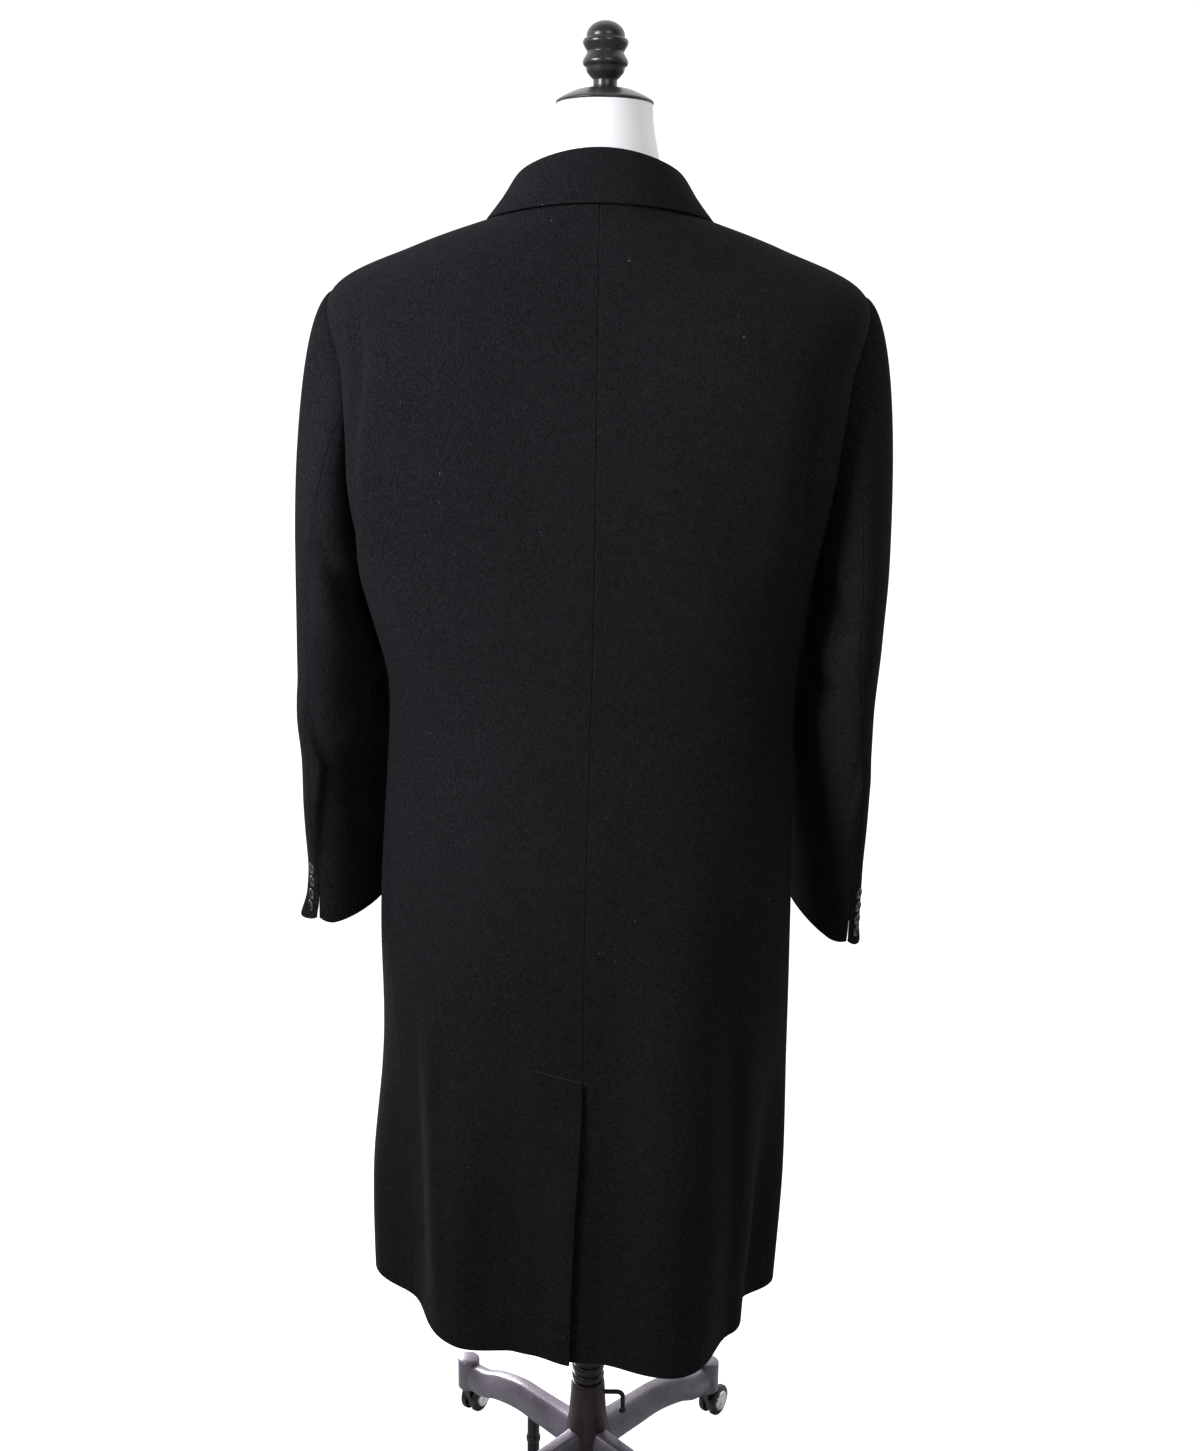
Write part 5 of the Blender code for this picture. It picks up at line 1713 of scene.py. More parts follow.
@dataclass
class Sleeve:
    """One sleeve, set into its armhole, in a top and an under piece."""

    body: CoatBody
    side: int
    hand: str
    flare: Flare
    hind_turn: float = 0.25
    fore_turn: float = 0.80
    top_angle: float = 186.0
    fore_angle: float = 300.0
    cuff_notch: float = 0.14
    edge_gap: float = -0.0013
    armpit_clear: float = 0.0002
    spacing: float = 0.6
    leave_share: float = 0.34
    arrive_share: float = 0.9
    free_below: float = 1.13
    free_over: float = 0.15
    cap_length: float = 0.30
    cap_crowding: float = 1.35
    ring_pitch: float = 0.062
    cuff_band: float = 0.06
    notch_half_width: float = 0.016
    notch_power: float = 1.3
    notch_fade: float = 0.4
    seam_band: float = 0.00015
    uneven: float = 0.0018
    uneven_cell: tuple[float, float, float] = (0.050, 0.050, 0.060)
    cap_rows: int = 34
    arm_rows: int = 104
    columns: int = 76
    pieces: dict[str, ClothPiece] = field(default_factory=dict)

    @property
    def rings(self) -> tuple[Ring, ...]:
        """The sleeve's table of rings."""
        return SLEEVE_RINGS[self.side]

    def armhole(self, turn: Array) -> Array:
        """Points of the cap's edge. A turn of 0 is the armpit, 0.25 the back, 0.5 the tip.

        Args:
            turn: turns round the armhole.

        Returns:
            One point for each turn.
        """
        turn = turn % 1.0
        even = 2.0 * np.minimum(turn, 1.0 - turn)
        share = mix(even, (1.0 - np.cos(np.pi * even)) / 2, self.spacing)
        place = mix(ARMPIT, SHOULDER_TIP, share)
        swing = np.copysign(self.body.armhole_half(place), 0.5 - turn)
        angle = self.side * (np.pi / 2 - swing)
        shape = self.body.shape
        edge = shape.point(angle, place)
        middle = shape.point(self.side * np.pi / 2, (ARMPIT + SHOULDER_TIP) / 2)
        normal = shape.normal(angle, place)
        lift = self.armpit_clear * (1.0 - share) + shape.relief(edge)
        return (edge + unit(middle - edge) * self.edge_gap + self.leaving(turn) * self.edge_gap
                + normal * lift[..., None])

    def leaving(self, turn: Array) -> Array:
        """The way the cap leaves its armhole: down at the armpit, outward at the shoulder.

        Args:
            turn: turns round the armhole.

        Returns:
            One direction for each turn.
        """
        low = ((1.0 + np.cos(math.tau * turn)) / 2) ** 1.5
        return unit(np.stack([self.side * (1.0 - 0.85 * low), 0.35 * np.sin(math.tau * turn),
                              -0.2 - 0.8 * low], -1))

    def ring_angle(self, turn: Array, seam: Array) -> Array:
        """The angle round a ring for a turn, smooth through the seams' own angles.

        Args:
            turn: turns round the sleeve.
            seam: the hind seam's angle in degrees at each of them.

        Returns:
            Radians for each turn.
        """
        knots = np.array([0.0, self.hind_turn, 0.5, self.fore_turn, 1.0])
        values = [np.zeros_like(seam), seam, np.full_like(seam, self.top_angle),
                  np.full_like(seam, self.fore_angle), np.full_like(seam, 360.0)]
        slopes = [(values[k + 1] - values[k]) / (knots[k + 1] - knots[k]) for k in range(4)]
        around = [slopes[-1], *slopes, slopes[0]]
        tangent = [2.0 * around[k] * around[k + 1] / (around[k] + around[k + 1])
                   for k in range(5)]
        angle = np.zeros(np.broadcast(turn, seam).shape)
        for k in range(4):
            width = knots[k + 1] - knots[k]
            t = (turn - knots[k]) / width
            piece = bridge(t, values[k], tangent[k] * width, values[k + 1],
                           tangent[k + 1] * width)
            angle = np.where((t >= 0) & (t <= 1), piece, angle)
        return np.radians(angle)

    def ring_point(self, turn: Array, place: Array) -> Array:
        """Points below the cap, at fractional places among the rings.

        Args:
            turn: turns round the sleeve.
            place: fractional ring numbers.

        Returns:
            One point for each pair.
        """
        turn, place = np.broadcast_arrays(turn % 1.0, place)
        ring = {name: through(self.rings, name, place) for name in Ring._fields}
        angle = self.ring_angle(turn, ring["seam_angle"])
        tilt, yaw = np.radians(ring["tilt"]), np.radians(ring["yaw"])
        outward, back = -ring["half_x"] * np.cos(angle), ring["half_y"] * np.sin(angle)
        level = back * np.cos(tilt)
        return np.stack([self.side * (ring["x_mid"] + outward * np.cos(yaw) + level * np.sin(yaw)),
                         ring["y_mid"] + level * np.cos(yaw) - outward * np.sin(yaw),
                         ring["z"] - back * np.sin(tilt)], -1)

    def point(self, turn: Array, along: Array) -> Array:
        """Points of the show face: along runs 0 to 1 down the cap, then ring by ring.

        Args:
            turn: turns round the sleeve.
            along: places down it.

        Returns:
            One point for each pair.
        """
        turn, along = np.broadcast_arrays(turn, along)
        start, end = self.armhole(turn), self.ring_point(turn, np.zeros_like(turn))
        length = np.linalg.norm(end - start, axis=-1, keepdims=True)
        leave = self.leaving(turn) * length * self.leave_share
        below = self.ring_point(turn, np.full_like(turn, 0.1))
        arrive = unit(below - end) * length * self.arrive_share
        t = np.clip(along, 0.0, 1.0)[..., None]
        cap = bridge(t, start, leave, end, arrive)
        return np.where(along[..., None] < 1.0, cap, self.ring_point(turn, along - 1.0))

    def normal(self, turn: Array, along: Array) -> Array:
        """Outward normals of the show face.

        Args:
            turn: turns round the sleeve.
            along: places down it.

        Returns:
            One normal for each pair.
        """
        around = self.point(turn + TINY, along) - self.point(turn - TINY, along)
        low = np.maximum(along - TINY, 0.0)
        high = np.minimum(along + TINY, float(len(self.rings)))
        down = self.point(turn, high) - self.point(turn, low)
        return unit(np.cross(around, down)) * self.side

    def relief(self, points: Array, normal: Array) -> Array:
        """Creases of a hanging sleeve.

        Args:
            points: points of the sleeve.
            normal: their normals.

        Returns:
            How far each point is raised, in metres.
        """
        shape = self.body.shape
        below = smooth((self.free_below - points[..., 2]) / self.free_over)
        uneven = self.uneven * soft_noise(points, self.uneven_cell, 21)
        behind = smooth((normal[..., 1] + 0.15) / 0.35)
        creased = sum(crease.lift(points) for crease in SLEEVE_CREASES[self.side])
        return shape.relief(points) * (1.0 - below) + below * uneven + creased * behind

    def flared(self, normal: Array, near_vent: Array, rows: Array) -> Array:
        """The way that the top piece moves at the cuff's vent.

        Args:
            normal: the show face's normals.
            near_vent: metres from the vent.
            rows: rings above the cuff's edge.

        Returns:
            One move for each normal.
        """
        sideways = np.array([self.side, 0.0, 0.0])
        size = self.flare.size(near_vent, rows)[..., None]
        return size * (self.flare.outward * normal + sideways)

    def piece(self, name: str, first: float, last: float) -> None:
        """Builds one of the sleeve's pieces.

        Args:
            name: the CAD node's name.
            first: the turn of its first seam.
            last: the turn of its last seam.
        """
        steps, end = np.array(self.body.edge_steps), float(len(self.rings))
        cap = np.linspace(0.0, 1.0, self.cap_rows)[1:-1] ** self.cap_crowding
        down = 1.0 + np.linspace(0.0, end - 1.0 - self.cuff_band, self.arm_rows)
        along = np.concatenate([steps / self.cap_length, cap, down,
                                end - steps[::-1] / self.ring_pitch])
        along = np.unique(along)[:, None]
        reach = self.circumference(along)
        inset = (steps[-1] + self.seam_band) / reach
        turns = np.concatenate([
            first + (steps + self.body.seam / 2)[None] / reach,
            mix(first + inset, last - inset, np.linspace(0.0, 1.0, self.columns)[None, 1:-1]),
            last - (steps[::-1] + self.body.seam / 2)[None] / reach], axis=1)
        near_vent = np.abs(turns % 1.0 - self.hind_turn) * reach
        rows = end - along
        vee = np.clip(1.0 - near_vent / self.notch_half_width, 0.0, 1.0) ** self.notch_power
        here = along - self.cuff_notch * vee * smooth(1.0 - rows / self.notch_fade)
        point = self.point(turns, here)
        normal = self.normal(turns, here)
        flare = self.flared(normal, near_vent, rows) * (turns < 0.5)[..., None]
        show = point + normal * self.relief(point, normal)[..., None] + flare
        cloth = ClothPiece(f"{name}_cloth", show, normal, self.body.cloth)
        cloth.build()
        self.pieces[name] = cloth

    def circumference(self, along: Array) -> Array:
        """The length round the sleeve for one turn, at the seams."""
        step = self.point(self.hind_turn + TINY, along) - self.point(self.hind_turn - TINY, along)
        return np.linalg.norm(step, axis=-1) / (2 * TINY)

    def build(self) -> None:
        """Builds the top and the under piece."""
        self.piece(f"top_sleeve_{self.hand}", self.hind_turn, self.fore_turn)
        self.piece(f"under_sleeve_{self.hand}", self.fore_turn, 1.0 + self.hind_turn)

    def hand_over(self) -> None:
        """Hides the CAD nodes of the sleeve's pieces and puts the pieces on the figure's body."""
        for name, piece in self.pieces.items():
            piece.hand_over(name, "hung", [f"back_{self.hand}_cloth", f"front_{self.hand}_cloth"])


# ---------------------------------------------------------------- the dress form
class Inset(NamedTuple):
    """How far the form lies inside the coat's show face, at a place along the body's rings."""

    place: float
    depth: float


FORM_INSETS = tuple(Inset(*row) for row in (
    (3.0, 0.034), (3.5, 0.028), (4.0, 0.021), (4.6, 0.018), (5.3, 0.016), (6.0, 0.014),
    (7.0, 0.011), (8.0, 0.0090), (8.6, 0.0080), (9.0, 0.0072), (9.35, 0.0056), (9.7, 0.0042),
    (10.2, 0.0033), (10.6, 0.0050), (11.0, 0.0150)))


@dataclass
class DressForm:
    """The limbless form: a jersey-covered torso and neck."""

    shape: BodyShape
    neck_rings: tuple[tuple[float, float, float], ...] = (
        (1.362, 0.054, 0.050), (1.385, 0.0490, 0.0480), (1.410, 0.0440, 0.0440),
        (1.4292, 0.0425, 0.0425))
    bottom: float = 0.700
    sides: int = 96
    rows: int = 96

    def build(self) -> None:
        """Builds the torso with its neck, hides the CAD torso and puts the form on the figure's
        body.
        """
        angle = np.linspace(0.0, math.tau, self.sides, endpoint=False)[None]
        control = []
        for inset in FORM_INSETS:
            place = np.full_like(angle, inset.place)
            normal = self.shape.normal(angle, place, folded=False)
            control.append(self.shape.point(angle, place, folded=False) - normal * inset.depth)
        control = [ring[0] for ring in control]
        control[0][:, 2] = self.bottom
        for height, half_width, half_depth in self.neck_rings:
            control.append(np.stack([half_width * np.sin(angle[0]), half_depth * np.cos(angle[0]),
                                     np.full(self.sides, height)], -1))
        rings = np.array(control)
        at = np.linspace(0.0, len(rings) - 1.0, self.rows)
        low = np.minimum(at.astype(int), len(rings) - 2)
        t = (at - low)[:, None, None]
        pick = [rings[np.clip(low + k, 0, len(rings) - 1)] for k in (-1, 0, 1, 2)]
        points = between(pick, t)
        faces = grid_faces(self.rows, self.sides, closed=True)[:, ::-1].tolist()
        faces.append(list(range(self.sides)))
        faces.append(list(range((self.rows - 1) * self.sides, self.rows * self.sides))[::-1])
        form = mesh_object("form", points, faces, Finish.JERSEY, 50.0)
        mesh_outward(form)
        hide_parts("form_torso")
        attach(form, "figure")


def mesh_outward(piece: bpy.types.Object) -> None:
    """Turns a closed mesh's faces outward.

    Args:
        piece: the object of the mesh.
    """
    work = bmesh.new()
    work.from_mesh(piece.data)
    bmesh.ops.recalc_face_normals(work, faces=work.faces)
    work.to_mesh(piece.data)
    work.free()


# ---------------------------------------------------------------- buttons and stitches
BUTTON_SECTION = ((0.0, 0.20), (0.58, 0.21), (0.70, 0.33), (0.84, 0.36), (0.97, 0.27), (1.0, 0.18),
                  (0.93, 0.07), (0.84, 0.0), (0.0, 0.0))


@dataclass(frozen=True)
class ButtonStyle:
    """A four-hole button with a dished middle and a rolled rim, at radius 1."""

    sides: int = 48
    hole_radius: float = 0.095
    hole_at: float = 0.20
    hole_sides: int = 12

    def mesh(self) -> bpy.types.Mesh:
        """Makes the button with its holes cut through.

        Returns:
            The button's mesh.
        """
        button = turned("button_blank", rounded(BUTTON_SECTION, 0.06, 3), Finish.BUTTON,
                        self.sides)
        points, faces = [], []
        for across, along in itertools.product((-1, 1), repeat=2):
            shell = turned_shell(((0.0, 0.6), (self.hole_radius, 0.6), (self.hole_radius, -0.3),
                                  (0.0, -0.3)), self.hole_sides, len(points))
            place = np.array([across * self.hole_at, along * self.hole_at, 0.0])
            points += [tuple(np.array(point) + place) for point in shell[0]]
            faces += shell[1]
        holes = mesh_object("button_holes", points, faces, Finish.BUTTON)
        boolean = button.modifiers.new("holes", "BOOLEAN")
        boolean.operation, boolean.solver, boolean.object = "DIFFERENCE", "EXACT", holes
        graph = bpy.context.evaluated_depsgraph_get()
        graph.update()
        mesh = bpy.data.meshes.new_from_object(button.evaluated_get(graph))
        for helper in (button, holes):
            bpy.data.objects.remove(helper)
        mesh.set_sharp_from_angle(angle=math.radians(40))
        return mesh


@dataclass
class Trimmings:
    """The buttons, their thread, the buttonholes and the vent's line of stitches."""

    body: CoatBody
    sleeves: Sequence[Sleeve]
    style: ButtonStyle = ButtonStyle()
    front_heights: tuple[float, ...] = (0.960, 0.830, 0.700)
    front_radius: float = 0.0135
    cuff_radius: float = 0.0058
    cuff_pitch: float = 2.08
    cuff_first: float = 0.022
    from_vent: float = 0.0095
    stands_off: float = 0.0005
    cuff_sunk: float = 0.0011
    hole_from: float = -0.004
    hole_to: float = 0.024
    hole_half_height: float = 0.0010
    hole_steps: int = 15
    hole_lift: float = 0.0002
    bar_lift: float = 0.0004
    bar_half: float = 0.0020
    line_lift: float = 0.0001
    line_steps: int = 21
    thread_height: float = 0.24
    thread_half: float = 0.001
    strands: tuple[float, ...] = (-0.035, 0.0, 0.035)
    nearest: int = 6
    vent_line: tuple[tuple[float, float], ...] = ((0.0500, 0.5712), (0.0300, 0.5672),
                                                  (0.0050, 0.5622))
    threads: list[Row] = field(default_factory=list)
    blank: bpy.types.Mesh = field(init=False)

    def build_button(self, node: str, radius: float, point: Array, normal: Array) -> None:
        """Builds one button and the two bars of thread in its holes.

        Args:
            node: the CAD node's name.
            radius: the button's radius.
            point: the middle of its back.
            normal: the way that it faces.
        """
        matrix = Matrix.Translation(point) @ toward(normal) @ Matrix.Scale(radius, 4)
        mesh = self.blank.copy()
        mesh.transform(matrix)
        stand_for(placed(f"{node}_horn", mesh), node)
        at, half = self.style.hole_at, self.thread_half
        for across, strand in itertools.product((-at, at), self.strands):
            ends = [matrix @ Vector((across + strand, step, self.thread_height))
                    for step in (-half, half)]
            way = unit(np.array(ends[1] - ends[0]))
            self.threads.append(Row(np.array(ends), np.stack([way, way])))

    def build_front(self) -> None:
        """Builds the front buttons."""
        for number, height in enumerate(self.front_heights, 1):
            angle, place = (np.array(value) for value in self.body.shape.on_front(
                np.array(0.0), np.array(height)))
            normal = self.body.shape.normal(angle, place)
            point = self.body.shape.point(angle, place)
            rise = (self.body.front_lift(angle, place) + self.stands_off
                    + self.body.shape.relief(point))
            self.build_button(f"front_button_{number}", self.front_radius,
                              point + normal * rise, normal)

    def build_cuff(self, sleeve: Sleeve) -> None:
        """Builds the four buttons beside a cuff's vent.

        Args:
            sleeve: the cuff's sleeve.
        """
        rings = sleeve.rings
        for number in range(1, 5):
            rise = self.cuff_first + (number - 1) * self.cuff_pitch * self.cuff_radius
            rows = np.array(rise / (rings[-2].z - rings[-1].z))
            along = len(rings) - rows
            turn = np.array(sleeve.hind_turn)
            reach = np.linalg.norm(sleeve.point(turn + 0.01, along)
                                   - sleeve.point(turn + TINY, along)) / 0.01
            turn = turn + self.from_vent / reach
            normal, point = sleeve.normal(turn, along), sleeve.point(turn, along)
            flare = sleeve.flared(normal, np.array(self.from_vent), rows)
            lift = sleeve.relief(point, normal) - self.cuff_sunk
            self.build_button(f"cuff_button_{sleeve.hand}_{number}", self.cuff_radius,
                              point + normal * lift + flare, normal)

    def lay(self, piece: ClothPiece, x: Array, z: Array, up: float) -> tuple[Array, Array]:
        """Points on a piece's show face at x, z, moved out, and the face's normals there.

        Args:
            piece: the piece.
            x: places across it.
            z: their heights.
            up: how far they are moved out.

        Returns:
            The points and the normals.
        """
        show, outward = piece.show.reshape(-1, 3), piece.outward.reshape(-1, 3)
        away = np.hypot(show[:, 0] - x[:, None], show[:, 2] - z[:, None])
        near = np.argsort(away, axis=1)[:, :self.nearest]
        share = 1.0 / (np.take_along_axis(away, near, 1) ** 2 + 1e-8)
        share = (share / share.sum(1, keepdims=True))[..., None]
        y = (show[near] * share).sum(1)[:, 1]
        normal = unit((outward[near] * share).sum(1))
        return np.stack([x, y, z], -1) + normal * up, normal

    def buttonhole(self, piece: ClothPiece, height: float) -> list[Row]:
        """The two stitched edges of a buttonhole, and the bar across its inner end.

        Args:
            piece: the front that it is cut in.
            height: its height.

        Returns:
            The three rows of stitches.
        """
        rows = []
        for side in (-1, 1):
            x = np.linspace(self.hole_from, self.hole_to, self.hole_steps)
            z = np.full_like(x, height + side * self.hole_half_height)
            path, normal = self.lay(piece, x, z, self.hole_lift)
            rows.append(Row(path, unit(np.cross(normal, np.gradient(path, axis=0)))))
        x = np.full(3, self.hole_to)
        z = height + np.linspace(-self.bar_half, self.bar_half, 3)
        path, _ = self.lay(piece, x, z, self.bar_lift)
        along = unit(rows[0].path[1:2] - rows[0].path[:1])
        return [*rows, Row(path, np.repeat(along, 3, axis=0))]

    def build(self) -> None:
        """Builds the buttons and everything that is sewn on the coat's surface."""
        self.blank = self.style.mesh()
        self.build_front()
        for sleeve in self.sleeves:
            self.build_cuff(sleeve)
        left = self.body.pieces["front_left"]
        holes = [row for height in self.front_heights for row in self.buttonhole(left, height)]
        knots = np.arange(len(self.vent_line))
        at = np.linspace(knots[0], knots[-1], self.line_steps)
        x, z = (np.interp(at, knots, values) for values in zip(*self.vent_line))
        path, _ = self.lay(self.body.pieces["back_left"], x, z, self.line_lift)
        tack = [Row(path, unit(np.gradient(path, axis=0)))]
        for stitching, rows in (
                (Stitching("button_thread", pitch=0.01, length=0.0024, radius=0.00035),
                 self.threads),
                (Stitching("buttonhole_thread", pitch=0.0006, length=0.0021, radius=0.00028),
                 holes),
                (Stitching("vent_thread", pitch=0.0019, length=0.0017, radius=0.00024), tack)):
            piece = stitching.build(rows)
            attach(piece, "figure")


# ---------------------------------------------------------------- the form's cap, knob and socket
@dataclass
class FormTop:
    """The domed cap on the neck, the turned knob on it and the socket under the form."""

    cap_bottom: float = 1.4295
    cap_height: float = 0.0138
    form_bottom: float = 0.700
    gap: float = 0.0003
    bore: float = 0.0129
    socket_radius: float = 0.018
    socket_depth: float = 0.048
    pole_top: float = 0.6932

    def build(self) -> None:
        """Builds the three pieces."""
        cap = ((0, self.cap_height), (0.014, 0.0136), (0.026, 0.0108), (0.036, 0.0064),
               (0.0425, 0.0028), (0.0437, 0.0012), (0.0430, 0), (0, 0))
        cap = [(radius, self.cap_bottom + height) for radius, height in rounded(cap, 0.0014, 4)]
        stand_for(turned("neck_cap_wood", cap, Finish.WOOD, 96), "neck_cap")
        base = self.cap_bottom + self.cap_height + self.gap
        dome = [(0.0170 * math.sin(turn), 0.0418 + 0.0130 * math.cos(turn))
                for turn in np.linspace(0.0, math.pi / 2, 14)]
        knob = rounded(((0.0170, 0.0418), (0.0167, 0.0405), (0.0198, 0.0390), (0.0203, 0.0360),
                        (0.0186, 0.0328), (0.0159, 0.0285), (0.0186, 0.0242), (0.0203, 0.0212),
                        (0.0200, 0.0182), (0.0176, 0.0165), (0.0165, 0.0122), (0.0126, 0.0078),
                        (0.0106, 0.0062), (0.0106, 0.0004), (0.0102, 0.0)), 0.0014, 5)
        outline = [(radius, base + height) for radius, height in [*dome, *knob[1:], (0.0, 0.0)]]
        stand_for(turned("finial_wood", outline, Finish.WOOD, 72), "finial")
        plate = self.form_bottom - self.gap
        under = rounded(((0, 0), (0.052, 0), (0.055, -0.002), (0.055, -0.006), (0.019, -0.008),
                         (self.socket_radius, -self.socket_depth),
                         (self.bore, -self.socket_depth)), 0.0012, 3)
        outline = [(radius, plate + height) for radius, height in under]
        outline += [(self.bore, self.pole_top + self.gap), (0, self.pole_top + self.gap)]
        stand_for(turned("form_socket_steel", outline, Finish.STEEL, 64), "form_socket")


# ---------------------------------------------------------------- the stand
class Beam(NamedTuple):
    """A leg's cross-section at a distance from the middle."""

    distance: float
    top: float
    bottom: float
    width: float


LEG = tuple(Beam(*row) for row in (
    (0.0148, 0.0960, 0.0580, 0.028), (0.0350, 0.0945, 0.0600, 0.026),
    (0.0700, 0.0935, 0.0600, 0.024), (0.1050, 0.0920, 0.0600, 0.023),
    (0.1400, 0.0840, 0.0530, 0.022), (0.1660, 0.0735, 0.0430, 0.021),
    (0.1920, 0.0705, 0.0415, 0.019)))
LEG_HALF = ((0.72, 0.0), (1.0, 0.10), (1.0, 0.62), (0.55, 1.0))
LEG_YAWS = {"left_front": -45.0, "left_back": 45.0, "right_back": 135.0, "right_front": 225.0}
CASTER_YAWS = {"left_front": 242.0, "left_back": 205.0, "right_back": 318.0, "right_front": 236.0}


@dataclass
class Stand:
    """The hub with its four legs, the ribbed collar, the pole, the clamp lever and the post."""

    bore: float = 0.0129
    pole_radius: float = 0.0125
    pole_bottom: float = 0.0450
    pole_top: float = 0.6932
    hub_top: float = 0.1500
    collar_top: float = 0.1940
    gap: float = 0.0003
    boss_distance: float = 0.1970
    boss_radius: float = 0.0125
    boss_top: float = 0.0745
    boss_bottom: float = 0.0392
    leg_steps: int = 30
    ribs: int = 4
    rib_radius: float = 0.0148
    rib_half_height: float = 0.0042
    rib_out: float = 0.0023
    lever_height: float = 0.1335
    lever_reach: float = 0.0375
    lever_drop: float = 0.0215
    lever_radius: float = 0.0025
    post_distance: float = 0.0855
    post_radius: float = 0.0068

    def leg_rings(self, yaw: float) -> list[list[Vector]]:
        """A leg's cross-sections, with its corners rounded.

        Args:
            yaw: the way that the leg points, in degrees.

        Returns:
            Rings of points from the hub outward.
        """
        turn = Matrix.Rotation(math.radians(yaw), 4, "Z")
        loop = [*LEG_HALF, *((-across, up) for across, up in reversed(LEG_HALF))]
        corners = rounded([loop[-1], *loop, loop[0]], 0.16, 3)[1:-1]
        rings = []
        for at in np.linspace(0.0, len(LEG) - 1.0, self.leg_steps):
            beam = {name: float(through(LEG, name, np.array(at))) for name in Beam._fields}
            depth = beam["top"] - beam["bottom"]
            rings.append([turn @ Vector((beam["distance"], beam["width"] / 2 * across,
                                         beam["bottom"] + up * depth)) for across, up in corners])
        return rings

    def build_foot(self) -> None:
        """Builds the hub, the legs and their bosses as one piece, with painted shade on the hub."""
        top = self.hub_top
        hub = rounded(((self.bore, top), (0.0164, top), (0.0178, top - 0.002), (0.0186, 0.132),
                       (0.0200, 0.110), (0.0222, 0.094), (0.0262, 0.079), (0.0330, 0.064),
                       (0.0350, 0.052), (0.0330, 0.041), (0.0260, 0.038), (0, 0.038)), 0.005, 4)
        low = self.pole_bottom - self.gap
        shells = [turned_shell([(0, low), (self.bore, low), *hub], 96)]
        hub_faces = len(shells[0][1])
        for yaw in LEG_YAWS.values():
            count = sum(len(points) for points, _ in shells)
            shells.append(lofted(self.leg_rings(yaw), count))
            count += len(shells[-1][0])
            dome = [(self.boss_radius * share, self.boss_top + rise) for share, rise in (
                (0.0, 0.003), (0.3, 0.0029), (0.55, 0.0026), (0.75, 0.0018), (0.88, 0.001),
                (0.97, -0.0002), (1.0, -0.0012))]
            boss = rounded([*dome, (self.boss_radius, self.boss_bottom), (0, self.boss_bottom)],
                           0.0008, 3)
            place = Matrix.Rotation(math.radians(yaw), 4, "Z") @ Vector((self.boss_distance, 0, 0))
            points, faces = turned_shell(boss, 48, count)
            shells.append(([tuple(Vector(point) + place) for point in points], faces))
        points = [point for shell in shells for point in shell[0]]
        faces = [face for shell in shells for face in shell[1]]
        foot = mesh_object("cast_foot", np.array(points), faces, Finish.CAST, 38.0)
        mesh_outward(foot)
        # The hub's faces take the darker copy of the paint, as painted shade.
        foot.data.materials.append(Finish.HUB_SHADED.material())
        shaded_hub = np.zeros(len(foot.data.polygons), np.int32)
        shaded_hub[:hub_faces] = 1
        foot.data.polygons.foreach_set("material_index", shaded_hub)
        stand_for(foot, "base_casting")

    def build_collar(self) -> None:
        """Builds the collar: a plain tube with its ribs set round it by a node tree."""
        low, top = self.hub_top + self.gap, self.collar_top
        tube = turned("ribbed_collar_moulding", ((self.bore, top), (self.rib_radius, top),
                                                 (self.rib_radius, low), (self.bore, low)),
                      Finish.PLASTIC, 64)
        pitch = (top - low) / self.ribs
        tree = Repeat("collar_ribs", {"Pitch": pitch, "Top": top, "Radius": self.rib_radius,
                                      "Out": self.rib_out, "Half height": self.rib_half_height})
        _, step, height, radius, out, half = tree.source.outputs[:6]
        first = maths(tree.tree, "ADD", height, maths(tree.tree, "MULTIPLY", step, -0.5))
        start = tree.add("ShaderNodeCombineXYZ", Z=first)
        stride = tree.add("ShaderNodeCombineXYZ", Z=maths(tree.tree, "MULTIPLY", step, -1.0))
        line = tree.add("GeometryNodeMeshLine", Count=self.ribs, Start_Location=start.outputs[0],
                        Offset=stride.outputs[0])
        circle = tree.add("GeometryNodeCurvePrimitiveCircle", Resolution=64, Radius=radius)
        section = tree.add("GeometryNodeCurvePrimitiveCircle", Resolution=12, Radius=1.0)
        size = tree.add("ShaderNodeCombineXYZ", X=out, Y=half, Z=1.0)
        flat = tree.add("GeometryNodeTransform", Geometry=section.outputs[0],
                        Scale=size.outputs[0])
        ring = tree.add("GeometryNodeCurveToMesh", Curve=circle.outputs[0],
                        Profile_Curve=flat.outputs[0])
        laid = tree.add("GeometryNodeInstanceOnPoints", Points=line.outputs[0],
                        Instance=ring.outputs[0])
        whole = tree.add("GeometryNodeJoinGeometry")
        for part in (laid.outputs[0], tree.source.outputs[0]):
            tree.tree.links.new(part, whole.inputs[0])
        tree.run(tube, whole, Finish.PLASTIC)
        stand_for(tube, "ribbed_collar")

